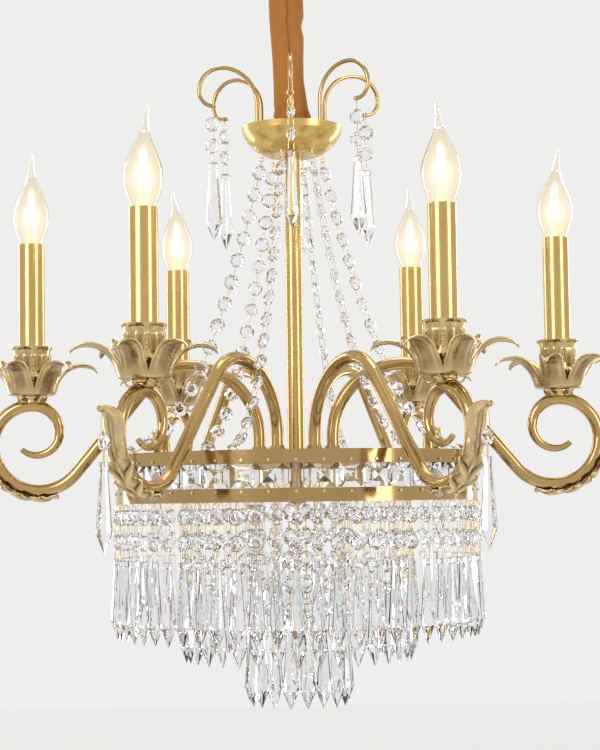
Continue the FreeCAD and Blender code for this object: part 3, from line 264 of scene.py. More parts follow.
def two_tone(tree, mask, low, high, target):
    """Mixes two colours by a mask into a colour socket."""
    mix = add_node(tree, "Mix", {MIX_A: (*low, 1), MIX_B: (*high, 1)}, data_type="RGBA")
    tree.links.new(mask, mix.inputs["Factor"])
    tree.links.new(mix.outputs[MIX_RESULT], target)


def span(tree, mask, low, high, target):
    """Maps a mask, where noise mostly lies, to a range of values on a socket."""
    ranged = add_node(tree, "MapRange", {"From Min": NOISE_LOW, "From Max": NOISE_HIGH,
                                         "To Min": low, "To Max": high})
    tree.links.new(mask, ranged.inputs["Value"])
    tree.links.new(ranged.outputs["Result"], target)


def bump(tree, shader, height, strength, distance):
    """Raises a material's surface by a mask."""
    node = add_node(tree, "Bump", {"Strength": strength, "Distance": distance})
    tree.links.new(height, node.inputs["Height"])
    tree.links.new(node.outputs["Normal"], shader.inputs["Normal"])


def mottle(tree, shader, low, high, scale):
    """A soft change between two colours. Returns the noise that makes it."""
    place = add_node(tree, "TexCoord")
    cloud = add_node(tree, "TexNoise", {"Scale": scale})
    tree.links.new(place.outputs["Object"], cloud.inputs["Vector"])
    two_tone(tree, cloud.outputs["Fac"], low, high, shader.inputs["Base Color"])
    return cloud


BRUSHING = brushing_group()
CASTING = casting_group()


def brushed_metal(name, low, high, rough, stretch, fineness=3500, lines_show=0.02):
    """Satin metal whose polishing lines run along the stretched axis."""
    material, tree, shader = new_material(name, {"Metallic": 1})
    lines = add_node(tree, "Group", {"Stretch": stretch, "Fineness": fineness}, node_tree=BRUSHING)
    two_tone(tree, lines.outputs["Cloud"], low, high, shader.inputs["Base Color"])
    span(tree, lines.outputs["Mask"], rough - 0.03, rough + 0.05, shader.inputs["Roughness"])
    bump(tree, shader, lines.outputs["Mask"], lines_show, LINE_DEPTH * MM)
    return material


def cast_metal(name, crest, patina_and_shade, rough):
    """Cast brass, bright on the crests and darker in the hollows: patina deepened by painted shade."""
    material, tree, shader = new_material(name, {"Metallic": 1})
    skin = add_node(tree, "Group", {"Grain": CAST_GRAIN}, node_tree=CASTING)
    two_tone(tree, skin.outputs["Patina and shade"], crest, patina_and_shade, shader.inputs["Base Color"])
    span(tree, skin.outputs["Grain"], rough - 0.06, rough + 0.08, shader.inputs["Roughness"])
    bump(tree, shader, skin.outputs["Grain"], 0.3, CAST_DEPTH * MM)
    return material


def plain_finish(name, low, high, rough, metallic=0.0):
    """Moulded plastic or plated steel with a slight mottle."""
    material, tree, shader = new_material(name, {"Metallic": metallic})
    cloud = mottle(tree, shader, low, high, 160)
    span(tree, cloud.outputs["Fac"], rough - 0.04, rough + 0.05, shader.inputs["Roughness"])
    return material


def cut_crystal():
    """Clear glass with faint spectral tints painted in small cells: painted glints for the light its
    facets split.
    """
    material, tree, shader = new_material("cut_crystal", {
        "Transmission Weight": 1, "Roughness": 0, "IOR": 1.54})
    place = add_node(tree, "TexCoord")
    cells = add_node(tree, "TexVoronoi", {"Scale": 260})
    painted_glint_colour = add_node(tree, "HueSaturation", {"Saturation": 1.3, "Value": 2.0})
    mix = add_node(tree, "Mix", data_type="RGBA")
    mix.inputs["Factor"].default_value = PAINTED_GLINT_SHARE
    mix.inputs[MIX_A].default_value = CRYSTAL_TINT
    tree.links.new(place.outputs["Object"], cells.inputs["Vector"])
    tree.links.new(cells.outputs["Color"], painted_glint_colour.inputs["Color"])
    tree.links.new(painted_glint_colour.outputs["Color"], mix.inputs[MIX_B])
    tree.links.new(mix.outputs[MIX_RESULT], shader.inputs["Base Color"])
    return material


def lamp_glass_painted_glow(low_z, high_z):
    """Clear, slightly hazy glass with a painted glow: warm at the filaments' height and fading out
    above, strongest where the glass faces the camera.
    """
    material, tree, shader = new_material("lamp_glass_painted_glow", {"Transmission Weight": 1, "IOR": 1.35})
    cloud = mottle(tree, shader, (0.93, 0.87, 0.76), (0.97, 0.93, 0.85), 60)
    span(tree, cloud.outputs["Fac"], 0.05, 0.12, shader.inputs["Roughness"])
    place = add_node(tree, "TexCoord")
    split = add_node(tree, "SeparateXYZ")
    height = add_node(tree, "MapRange", {"From Min": low_z, "From Max": high_z})
    glow = add_node(tree, "ValToRGB")
    stops = glow.color_ramp.elements
    stops[0].color = (0.85, 0.55, 0.24, 1)
    stops[1].position = 0.80
    stops[1].color = (0.0, 0.0, 0.0, 1)
    stops.new(0.38).color = (1.0, 0.80, 0.50, 1)
    # painted glow, strongest where the glass faces the camera
    painted_glow_facing = add_node(tree, "LayerWeight", {"Blend": 0.5})
    centre = add_node(tree, "Math", {0: 1.0}, operation="SUBTRACT")
    painted_glow_core = add_node(tree, "Math", {1: 3.0}, operation="POWER")
    level = add_node(tree, "Math", {1: PAINTED_GLASS_GLOW}, operation="MULTIPLY")
    tree.links.new(painted_glow_facing.outputs["Facing"], centre.inputs[1])
    tree.links.new(centre.outputs[0], painted_glow_core.inputs[0])
    tree.links.new(painted_glow_core.outputs[0], level.inputs[0])
    tree.links.new(level.outputs[0], shader.inputs["Emission Strength"])
    tree.links.new(place.outputs["Object"], split.inputs[0])
    tree.links.new(split.outputs["Z"], height.inputs["Value"])
    tree.links.new(height.outputs["Result"], glow.inputs["Fac"])
    tree.links.new(glow.outputs["Color"], shader.inputs["Emission Color"])
    return material


def glowing_filament():
    """The hot wire of a lamp, a little uneven along its length."""
    material, tree, shader = new_material("glowing_filament", {
        "Emission Strength": 8, "Roughness": 0.5})
    cloud = mottle(tree, shader, (1.0, 0.72, 0.36), (1.0, 0.80, 0.46), 400)
    two_tone(tree, cloud.outputs["Fac"], (1.0, 0.66, 0.30), (1.0, 0.80, 0.50),
             shader.inputs["Emission Color"])
    return material


def brushed_cloth():
    """Short-napped brown-gold cloth with soft streaks."""
    material, tree, shader = new_material("sleeve_nap", {
        "Roughness": 0.9, "Sheen Weight": 0.2, "Sheen Roughness": 0.4,
        "Sheen Tint": (1.0, 0.80, 0.55, 1)})
    place = add_node(tree, "TexCoord")
    streaks = add_node(tree, "TexNoise", {"Scale": 55, "Detail": 6})
    nap = add_node(tree, "TexNoise", {"Scale": 1500, "Detail": 4})
    tree.links.new(place.outputs["Object"], streaks.inputs["Vector"])
    tree.links.new(place.outputs["Object"], nap.inputs["Vector"])
    two_tone(tree, streaks.outputs["Fac"], (0.44, 0.165, 0.028), (0.62, 0.262, 0.058),
             shader.inputs["Base Color"])
    bump(tree, shader, nap.outputs["Fac"], 0.5, NAP_DEPTH * MM)
    return material


materials = {
    "satin_brass": brushed_metal("satin_brass", (0.42, 0.28, 0.11), (0.54, 0.37, 0.155), 0.15,
                                 (1, 1, 0.06)),
    "candle_brass": brushed_metal("candle_brass", (0.52, 0.345, 0.13), (0.63, 0.43, 0.175), 0.20,
                                  (1, 1, 0.03)),
    "band_brass": brushed_metal("band_brass", (0.34, 0.22, 0.085), (0.52, 0.35, 0.15), 0.12,
                                (0.05, 0.05, 1), 6000, 0.05),
    "spun_brass": brushed_metal("spun_brass", (0.62, 0.42, 0.135), (0.70, 0.49, 0.175), 0.24,
                                (0.02, 0.02, 1), 6000, 0.08),
    # antique brass: its dark hollow colour is patina deepened by painted shade
    "antique_brass": cast_metal("antique_brass", (0.70, 0.54, 0.285), (0.17, 0.107, 0.040), 0.25),
    "wire": brushed_metal("wire", (0.72, 0.56, 0.28), (0.80, 0.64, 0.36), 0.20, (1, 1, 1)),
    "steel": plain_finish("steel", (0.55, 0.55, 0.53), (0.66, 0.66, 0.64), 0.3, 1.0),
    "crystal": cut_crystal(),
    "bulb_glass": lamp_glass_painted_glow(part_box("bulb_glass_1")[0].z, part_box("bulb_glass_1")[1].z),
    "bulb_cap": brushed_metal("bulb_cap", (0.62, 0.52, 0.32), (0.70, 0.60, 0.40), 0.25, (1, 1, 8)),
    "filament": glowing_filament(),
    "sleeve_cloth": brushed_cloth(),
    "white_plastic": plain_finish("white_plastic", (0.78, 0.77, 0.73), (0.84, 0.83, 0.80), 0.45),
    "holder_plastic": plain_finish("holder_plastic", (0.74, 0.70, 0.60), (0.80, 0.76, 0.66), 0.45),
}
OWN_FINISHES = {"top_bowl": "spun_brass", "ring_bands": "band_brass",
                "central_tube": "candle_brass"}


def dress(obj, finish):
    """Gives an object one material and no other."""
    obj.data.materials.clear()
    obj.data.materials.append(materials[finish])


def dress_frame():
    """Every node takes the finish of its own slot, or a finer brass of its own."""
    for subpart in frame["record"]["subparts"]:
        dress(nodes[subpart["node"]], subpart["material_slot"])
    for node, finish in OWN_FINISHES.items():
        dress(nodes[node], finish)


# ---------------------------------------------------------------- modelling helpers

def deselect():
    bpy.ops.object.select_all(action="DESELECT")


def focus(obj):
    """Makes one object the only selected and active one."""
    deselect()
    obj.select_set(True)
    bpy.context.view_layer.objects.active = obj
    return obj


def modify(obj, kind, **settings):
    """Adds a modifier, sets it and applies it."""
    focus(obj)
    bpy.ops.object.modifier_add(type=kind)
    modifier = obj.modifiers[-1]
    for name, value in settings.items():
        setattr(modifier, name, value)
    bpy.ops.object.modifier_apply(modifier=modifier.name)


def edit(action):
    """Opens the active mesh for editing, with all of it selected or deselected."""
    bpy.ops.object.mode_set(mode="EDIT")
    bpy.ops.mesh.select_all(action=action)


def stop_editing():
    bpy.ops.object.mode_set(mode="OBJECT")


def close_outwards():
    """Turns the faces of the open mesh outwards and closes it."""
    bpy.ops.mesh.select_all(action="SELECT")
    bpy.ops.mesh.normals_make_consistent(inside=False)
    stop_editing()


def thicken(sheet, wall, offset):
    """Gives a sheet its wall and rounds off its corners."""
    modify(sheet, "SOLIDIFY", thickness=wall * MM, offset=offset)
    modify(sheet, "SUBSURF", levels=1, render_levels=1)


def settle(obj):
    """Moves an object's place into its mesh."""
    focus(obj)
    bpy.ops.object.transform_apply(location=True, rotation=True, scale=True)
    return obj


def joined(parts):
    """Joins objects into the first of them."""
    deselect()
    for part in parts:
        part.select_set(True)
    bpy.context.view_layer.objects.active = parts[0]
    if len(parts) > 1:
        bpy.ops.object.join()
    return bpy.context.view_layer.objects.active


def copies(template, places):
    """One mesh that holds the template at each of the places."""
    found = []
    for place in places:
        mesh = template.data.copy()
        mesh.transform(place)
        copy = bpy.data.objects.new(template.name + "_copy", mesh)
        bpy.context.collection.objects.link(copy)
        found.append(copy)
    return joined(found)


def drop_template(obj):
    bpy.data.objects.remove(obj)


def finish_piece(obj, name, finish, body, replaced=(), smooth=40):
    """Names and dresses a piece, and hangs it on its body."""
    settle(obj)
    obj.name = name
    obj.data.name = name
    if smooth:
        bpy.ops.object.shade_smooth_by_angle(angle=radians(smooth))
    else:
        bpy.ops.object.shade_flat()
    dress(obj, finish)
    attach(obj, body)
    if replaced:
        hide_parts(*replaced)
    return obj


def around_z(angle):
    return Matrix.Rotation(angle, 4, "Z")


def islands(node):
    """The corner points of each separate solid in a node of the frame, as arrays."""
    mesh = nodes[node].data
    points = np.zeros(len(mesh.vertices) * 3)
    mesh.vertices.foreach_get("co", points)
    keys, same = np.unique(np.round(points.reshape(-1, 3), 6), axis=0, return_inverse=True)
    same = same.reshape(-1)
    parent = list(range(len(keys)))

    def root(i):
        while parent[i] != i:
            parent[i] = parent[parent[i]]
            i = parent[i]
        return i

    for polygon in mesh.polygons:
        corners = [same[v] for v in polygon.vertices]
        for corner in corners[1:]:
            a, b = root(corners[0]), root(corner)
            if a != b:
                parent[b] = a
    groups = {}
    for i in range(len(keys)):
        groups.setdefault(root(i), []).append(keys[i])
    return [np.array(group) for group in groups.values()]


# ---------------------------------------------------------------- places taken from the frame

CANDLE_R = (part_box("bulb_cap_1")[0].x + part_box("bulb_cap_1")[1].x) / 2
DISH_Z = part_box("bobeches")[0].z
DISH_TURNS = (11, -4, 6, 13, 12, -8)
CANDLE_REACH = 0.1 * CANDLE_R
AROUND = [around_z(i * STEP) for i in range(LAMPS)]


def at_candle(k):
    """From a candle's own axis, with the dish's base at zero, to its place on the light."""
    turn = around_z(radians(DISH_TURNS[k]))
    return around_z(k * STEP) @ Matrix.Translation((CANDLE_R, 0, DISH_Z)) @ turn


def outline_of(node, z_low, z_high, rows):
    """The radius of a turned node round the first candle's axis, at each of some heights."""
    widest = {}
    for vertex in nodes[node].data.vertices:
        reach = hypot(vertex.co.x - CANDLE_R, vertex.co.y)
        if reach < CANDLE_REACH:
            height = round(vertex.co.z, 5)
            widest[height] = max(widest.get(height, 0), reach)
    heights = sorted(widest)
    wanted = np.linspace(z_low, z_high, rows)
    return wanted, np.interp(wanted, heights, [widest[height] for height in heights])


# ---------------------------------------------------------------- bent sheets of metal or cloth

def bent_sheet(name, across, along, surface, patina_and_shade):
    """A grid bent by a formula, with how deep each point lies in the relief, which is painted darker
    as patina deepened by painted shade.

    surface and hollow take t from -1 to 1 across and s from 0 to 1 along."""
    bpy.ops.mesh.primitive_grid_add(x_subdivisions=across, y_subdivisions=along, size=2)
    sheet = bpy.context.object
    sheet.name = name
    layer = sheet.data.attributes.new("patina_and_shade", "FLOAT", "POINT")
    for i, vertex in enumerate(sheet.data.vertices):
        t, s = vertex.co.x, (vertex.co.y + 1) / 2
        layer.data[i].value = patina_and_shade(t, s)
        vertex.co = surface(t, s)
    return sheet


def groove(t, middle, width):
    """The exponent of a bell curve."""
    return -((t - middle) / width) ** 2


def smooth_step(low, high, value):
    """0 below low, 1 above high, and an even S between them."""
    share = min(1.0, max(0.0, (value - low) / (high - low)))
    return share * share * (3 - 2 * share)


# ---------------------------------------------------------------- dishes under the candles

PETAL_RADII = (5.6, 20.6, 21.6, 23.2, 24.8, 27.9, 32.6, 39.4, 46.0, 53.0, 59.5, 63.0, 63.6)
PETAL_HEIGHTS = (0.0, 0.0, 0.6, 5.4, 10.8, 16.2, 21.7, 25.7, 27.4, 27.0, 25.4, 22.6, 20.6)
PETAL_HALVES = (2.8, 10.3, 10.9, 11.6, 11.2, 11.1, 11.4, 10.7, 9.2, 7.0, 4.2, 1.7, 0.5)
PETAL_PARTS = 22.5
PETAL_FREES_IN = 14
PETAL_TIP = 0.80
PETAL_LIFT = 3.6
PETAL_RIM = 0.9
DISH_WALL = 1.3
WELD = 0.05
CREASES = (-0.6, 0.6)
CREASE_RISE = 1.2
CREASE_WIDTH = 0.09


def petal_walk():
    """Shares of the way along the petal for each of its profile's points, by length."""
    lengths = [0.0]
    for i in range(1, len(PETAL_RADII)):
        step = hypot(PETAL_RADII[i] - PETAL_RADII[i - 1], PETAL_HEIGHTS[i] - PETAL_HEIGHTS[i - 1])
        lengths.append(lengths[-1] + step)
    return [length / lengths[-1] for length in lengths]


PETAL_SHARES = petal_walk()


def petal_point(t, s):
    """A point of one sixth of a dish: a sector up to the notch, a channelled petal after it."""
    radius = float(np.interp(s, PETAL_SHARES, PETAL_RADII))
    height = float(np.interp(s, PETAL_SHARES, PETAL_HEIGHTS))
    if radius <= PETAL_PARTS:
        angle = t * STEP / 2
        return Vector((radius * cos(angle), radius * sin(angle), height)) * MM
    free = smooth_step(PETAL_PARTS, PETAL_PARTS + PETAL_FREES_IN, radius)
    tip = smooth_step(PETAL_TIP, 1.0, s)
    side = t * float(np.interp(s, PETAL_SHARES, PETAL_HALVES))
    bend = radius - (radius ** 2 - min(side, radius) ** 2) ** 0.5
    forward = radius - bend * (1 - 0.7 * free)
    lift = PETAL_LIFT * free * (1 - 0.75 * tip) * t * t
    ridge = sum(CREASE_RISE * exp(groove(t, middle, CREASE_WIDTH)) for middle in CREASES)
    rim = PETAL_RIM * smooth_step(0.84, 1.0, abs(t))
    relief = (ridge + rim) * free * (1 - tip)
    return Vector((forward, side, height + lift - relief)) * MM


def petal_patina_and_shade(t, s):
    """How dark a petal is painted, patina deepened by painted shade: darker between its creases, and
    not along its edge, which is left bright as a painted highlight.
    """
    radius = float(np.interp(s, PETAL_SHARES, PETAL_RADII))
    crease = max(exp(groove(t, middle, 0.14)) for middle in CREASES)
    valley_darkening = 0.42 * (1 - crease) * smooth_step(21, 26, radius)
    edge = smooth_step(0.8, 0.95, abs(t)) * smooth_step(22, 27, radius)
    return (valley_darkening + 0.18) * (1 - edge)


def dishes():
    """One dish for each candle, turned a little as it was screwed down."""
    petal = bent_sheet("petal", 24, 44, petal_point, petal_patina_and_shade)
    dish = copies(petal, AROUND)
    drop_template(petal)
    focus(dish)
    edit("SELECT")
    bpy.ops.mesh.remove_doubles(threshold=WELD * MM)
    stop_editing()
    thicken(dish, DISH_WALL, 1.0)
    for k in range(LAMPS):
        piece = copies(dish, [at_candle(k)])
        finish_piece(piece, f"petal_dish_{k + 1}", "antique_brass", LIGHT, ["bobeches"])
    drop_template(dish)


# ---------------------------------------------------------------- leaves cast on the cups

LOBE_WALL = 1.0
LOBE_STAND = 0.4
LOBE_BELLY = 1.1
LOBE_RIB = 0.55
LOBE_FOLD = 1.1
BEAD_ROWS = 7
BEAD_SIZE = 1.1
BEADS_FROM = 0.20
BEADS_RUN = 0.58
CUP_ROWS = 40


def cup_profile():
    """Heights above the dish's base and radii of the cup, and its lowest and highest points."""
    low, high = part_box("socket_cups")
    heights, radii = outline_of("socket_cups", low.z, high.z, CUP_ROWS)
    return heights - DISH_Z, radii, low.z - DISH_Z, high.z - DISH_Z


def cup_lobes():
    """Six broad leaf lobes round each cup, folding out at its rim."""
    heights, radii, low, high = cup_profile()
    tall = high - low

    def lobe_point(t, s):
        height = low + tall * (0.05 + 0.95 * s)
        radius = float(np.interp(height, heights, radii))
        fold = smooth_step(0.80, 1.0, s)
        wide = 0.60 + 0.34 * smooth_step(0.30, 0.85, s) - 0.30 * smooth_step(0.90, 1.0, s)
        angle = t * STEP / 2 * wide
        rib = exp(groove(t, 0, 0.20)) + 0.7 * exp(groove(abs(t), 0.86, 0.16))
        belly = LOBE_BELLY * (1 - t * t) * (1 - fold)
        radius += (LOBE_STAND + belly + LOBE_RIB * rib + LOBE_FOLD * fold) * MM
        drop = 1.3 * fold * t * t + 0.6 * fold * fold
        return Vector((radius * cos(angle), radius * sin(angle), height - drop * MM))

    def lobe_patina_and_shade(t, s):
        # Patina deepened by painted shade between the ribs, less towards the top of the lobe.
        rib = exp(groove(t, 0, 0.22)) + exp(groove(abs(t), 0.9, 0.2))
        return 0.62 * max(0.0, 1 - rib) * (1 - 0.5 * s)

    lobe = bent_sheet("lobe", 14, 16, lobe_point, lobe_patina_and_shade)
    thicken(lobe, LOBE_WALL, -1.0)
    lobes = copies(lobe, [at_candle(k) @ turn for k in range(LAMPS) for turn in AROUND])
    drop_template(lobe)
    finish_piece(lobes, "cup_leaves", "antique_brass", LIGHT)


def cup_beading():
    """An upright row of small beads between each two lobes of a cup."""
    heights, radii, low, high = cup_profile()
    bpy.ops.mesh.primitive_uv_sphere_add(segments=10, ring_count=6, radius=BEAD_SIZE * MM)
    bead = bpy.context.object
    between = around_z(STEP / 2)
    row = []
    for i in range(BEAD_ROWS):
        height = low + (high - low) * (BEADS_FROM + BEADS_RUN * i / (BEAD_ROWS - 1))
        radius = float(np.interp(height, heights, radii)) + 0.35 * BEAD_SIZE * MM
        row.append(Matrix.Translation((radius, 0, height)))
    beads = copies(bead, [at_candle(k) @ turn @ between @ place
                          for k in range(LAMPS) for turn in AROUND for place in row])
    drop_template(bead)
    finish_piece(beads, "cup_beading", "antique_brass", LIGHT)


# ---------------------------------------------------------------- necks under the dishes

NECK_RING = 9.6
NECK_WIRE = 2.3
NECK_RING_Z = -2.6
NECK_LEAF = 11.0
NECK_LEAF_HALF = 4.2
NECK_LEAF_Z = -5.2
NECK_LEAF_WALL = 1.0
NECK_LEAF_SIDES = (50, 130, -50, -130)


def necks():
    """A rounded ring under each dish and small leaf tips that curl away from it."""
    bpy.ops.mesh.primitive_torus_add(major_segments=40, minor_segments=14,
                                     major_radius=NECK_RING * MM, minor_radius=NECK_WIRE * MM,
                                     location=(0, 0, NECK_RING_Z * MM))
    ring = settle(bpy.context.object)

    def tip_point(t, s):
        reach = NECK_RING - 1.0 + NECK_LEAF * s
        half = NECK_LEAF_HALF * (1 - s ** 2.2) + 0.25
        height = NECK_LEAF_Z - 3.4 * sin(pi * min(1.0, s * 1.15)) + 2.8 * s * s + 1.1 * t * t
        return Vector((reach, t * half, height)) * MM

    # The tips are painted darker along their middle: patina deepened by painted shade.
    tip = bent_sheet("tip", 8, 12, tip_point, lambda t, s: 0.35 * (1 - abs(t)))
    thicken(tip, NECK_LEAF_WALL, 0.0)
    rings = copies(ring, [at_candle(k) for k in range(LAMPS)])
    sides = [around_z(radians(angle)) for angle in NECK_LEAF_SIDES]
    tips = copies(tip, [around_z(k * STEP) @ Matrix.Translation((CANDLE_R, 0, DISH_Z)) @ side
                        for k in range(LAMPS) for side in sides])
    drop_template(ring)
    drop_template(tip)
    finish_piece(rings, "neck_rings", "antique_brass", LIGHT)
    finish_piece(tips, "neck_leaf_tips", "antique_brass", LIGHT)


# ---------------------------------------------------------------- leaves on the scrolls

LEAF_FOLLOWS = 53.0
LEAF_STARTS = 20.0
LEAF_CURL = 11.0
LEAF_RUN = 19.0
LEAF_HALF = 14.5
LEAF_THICK = 2.0
LEAF_LOBES = 4
LEAF_END = 0.62
LEAFLET_RISE = 3.2
END_SWELL = 2.6
LEAF_RIB = 1.5
LEAF_RIM = 0.7
LEAF_WRAP = 3.4
LEAF_SINK = 0.8
LOBE_SLANT = 0.85
SCROLL_X = 247.5
SCROLL_Z = -492.775
# radius, degrees and steps of each arc of the leaf's line; a straight run has a length instead
LEAF_PARTS = ((LEAF_FOLLOWS, 100.0, 40), (None, LEAF_RUN, 8), (LEAF_CURL, -110.0, 20))


def leaf_line():
    """Stations (length, x, z, heading) along the leaf's middle, from the scroll's centre."""
    turn = radians(LEAF_STARTS)
    x, z, heading = -LEAF_FOLLOWS * sin(turn), -LEAF_FOLLOWS * cos(turn), -turn
    stations = [(0.0, x, z, heading)]
    for radius, extent, count in LEAF_PARTS:
        for _ in range(count):
            bend = radians(extent) / count if radius else 0.0
            step = abs(bend) * radius if radius else extent / count
            heading += bend / 2
            x += step * cos(heading)
            z += step * sin(heading)
            heading += bend / 2
            stations.append((stations[-1][0] + step, x, z, heading))
    return np.array(stations)


def side_lobe(t, s):
    """How far through its slanting side lobe a point of the leaf lies, from 0 to 1."""
    return (s / LEAF_END * LEAF_LOBES - abs(t) * LOBE_SLANT) % 1.0


def arm_leaves():
    """A long acanthus leaf round the outside of each scroll, its smooth end lobe curling out."""
    line = leaf_line()
    total = line[-1][0]
    scroll = Vector((SCROLL_X, 0, SCROLL_Z)) * MM

    def ended(s):
        return smooth_step(LEAF_END - 0.02, LEAF_END + 0.10, s)

    def half_width(s):
        part = side_lobe(1, s)
        point = smooth_step(0.0, 0.80, part) * (1 - smooth_step(0.88, 1.0, part))
        lobed = (0.55 + 0.45 * point) * (0.40 + 0.60 * smooth_step(0.0, 0.32, s))
        smooth = 0.46 + 0.30 * sin(pi * smooth_step(LEAF_END, 1.02, s))
        smooth *= 1 - 0.68 * smooth_step(0.86, 1.0, s) ** 1.5
        return LEAF_HALF * (lobed * (1 - ended(s)) + smooth * ended(s))

    def leaf_point(t, s):
        x, z, heading = [float(np.interp(s * total, line[:, 0], line[:, i])) for i in (1, 2, 3)]
        out = Vector((sin(heading), 0, -cos(heading)))
        part = side_lobe(t, s)
        leaflet = LEAFLET_RISE * sin(pi * part) ** 0.7 * smooth_step(0.06, 0.3, abs(t))
        leaflet *= 1 - ended(s)
        swell = END_SWELL * sin(pi * min(1.0, abs(t) * 1.05)) * ended(s)
        swell *= 1 - smooth_step(0.9, 1.0, s)
        rib = LEAF_RIB * exp(groove(t, 0, 0.10)) * (1 - 0.4 * ended(s))
        rim = LEAF_RIM * smooth_step(0.88, 1.0, abs(t))
        wrap = LEAF_WRAP * t * t
        rise = leaflet + swell + rib + rim - wrap - LEAF_SINK
        return scroll + (Vector((x, t * half_width(s), z)) + out * rise) * MM

    def leaf_patina_and_shade(t, s):
        # Patina deepened by painted shade in the gaps between the side lobes and beside the rib, none
        # at the rim.
        gap = 1 - sin(pi * side_lobe(t, s))
        lobes = gap * smooth_step(0.1, 0.3, abs(t)) * (1 - ended(s))
        beside = exp(groove(abs(t), 0.2, 0.12)) * 0.5
        return min(0.95, lobes + beside) * (1 - smooth_step(0.86, 0.98, abs(t)))

    leaf = bent_sheet("leaf", 26, 110, leaf_point, leaf_patina_and_shade)
    thicken(leaf, LEAF_THICK, 0.0)
    for k in range(LAMPS):
        piece = copies(leaf, [AROUND[k]])
        finish_piece(piece, f"acanthus_leaf_{k + 1}", "antique_brass", LIGHT, ["arm_leaves"])
    drop_template(leaf)


# ---------------------------------------------------------------- cut crystals and their wires

BEAD_CORNERS = 8
BEAD_POINTS = 32  # the corner points of a bead in the frame; a drop has others
DROP_SIDES = 8
# how far down each ring of a drop's head lies, and its share of the drop's width
DROP_HEAD = ((0.0, 0.50), (0.4, 0.56), (5.0, 0.56), (6.0, 0.48))
WIRE_R = 0.3
# half the width of a link, and how far it reaches past its solid, at a crystal and at a bare end
LINK_HALF, LINK_BITE = 2.6, 1.7
BARE_HALF, BARE_BITE = 0.7, 0.2
HOLE_NEAR = 9.5
RING_FLATNESS = 3
RING_INSET = 0.5
RING_WIRE_R = 0.45
TWIST = 16
TIER_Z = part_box("tier_rings")[1].z
CRYSTAL_BODIES = {"octagon_crystals": LIGHT, "icicle_crystals": LIGHT}
WIRE_BODIES = {"crystal_wires": LIGHT}
for number in range(1, LAMPS + 1):
    CRYSTAL_BODIES[f"arm_drop_crystals_{number}"] = f"arm_drop_{number}"
    WIRE_BODIES[f"arm_drop_wires_{number}"] = f"arm_drop_{number}"


def solid_axes(points):
    """Centre, thin axis and long axis of a solid, and its corner points from its centre."""
    paired = len(points) % 2 == 0
    centre = points.mean(axis=0) if paired else (points.max(axis=0) + points.min(axis=0)) / 2
    spread = points - centre
    axes = np.linalg.eigh(spread.T @ spread)[1]
    return Vector(centre), Vector(axes[:, 0]), Vector(axes[:, 2]), spread


def frame_of(place, thin, up):
    """A matrix whose X is the thin axis and whose Z is as near up as it can be."""
    x = thin.normalized()
    z = (up - x * up.dot(x)).normalized()
    y = z.cross(x)
    turn = Matrix((x, y, z)).transposed().to_4x4()
    return Matrix.Translation(place) @ turn


def bead_template(width, thick, edge, table):
    """An eight-sided bead: a thin girdle with a ring of triangular facets to each table."""
    bpy.ops.mesh.primitive_cylinder_add(vertices=BEAD_CORNERS, radius=width / 2, depth=edge)
    bead = bpy.context.object
    rise = (thick - edge) / 2
    share = table / width
    for sign in (-1, 1):
        edit("DESELECT")
        stop_editing()
        for face in bead.data.polygons:
            face.select = face.normal.z * sign > 0.9
        bpy.ops.object.mode_set(mode="EDIT")
        bpy.ops.mesh.select_mode(type="FACE")
        bpy.ops.mesh.extrude_region_move(TRANSFORM_OT_translate={"value": (0, 0, sign * rise)})
        top = (0, 0, sign * thick / 2)
        bpy.ops.transform.resize(value=(share, share, 1), center_override=top)
        bpy.ops.transform.rotate(value=pi / BEAD_CORNERS, orient_axis="Z", center_override=top)
        stop_editing()
    bpy.ops.object.mode_set(mode="EDIT")
    close_outwards()
    turn = Matrix.Rotation(pi / 2, 4, "Y") @ Matrix.Rotation(pi / BEAD_CORNERS, 4, "Z")
    bead.data.transform(turn)
    return bead


def drop_template_of(length, width, thick, point):
    """A long prism: narrow at its top, widest above its sharp point, ridged front and back."""
    rings = [(-down * MM, share) for down, share in DROP_HEAD] + [(-(length - point), 1.0)]
    bpy.ops.mesh.primitive_circle_add(vertices=DROP_SIDES, radius=width / 2, fill_type="NGON")
    drop = bpy.context.object
    z, share = rings[0]
    edit("SELECT")
    bpy.ops.transform.resize(value=(thick / width * share, share, 1), center_override=(0, 0, 0))
    for next_z, next_share in rings[1:]:
        move = {"value": (0, 0, next_z - z)}
        bpy.ops.mesh.extrude_region_move(TRANSFORM_OT_translate=move)
        grow = next_share / share
        bpy.ops.transform.resize(value=(grow, grow, 1), center_override=(0, 0, next_z))
        z, share = next_z, next_share
    bpy.ops.mesh.extrude_region_move(TRANSFORM_OT_translate={"value": (0, 0, -length - z)})
    bpy.ops.mesh.merge(type="CENTER")
    close_outwards()
    return drop


def strand_twist(place):
    """A repeatable small turn for the strand that hangs at a place."""
    seed = round(place.x * 5000) * 7919 + round(place.y * 5000)
    return radians(random.Random(seed).gauss(0, TWIST))


def hung(place, thin, up):
    """A bead's or drop's placement. One under a band turns a little about the vertical."""
    turn = strand_twist(place) if place.z < TIER_Z else 0.0
    return frame_of(place, thin, up) @ Matrix.Rotation(turn, 4, "Z")


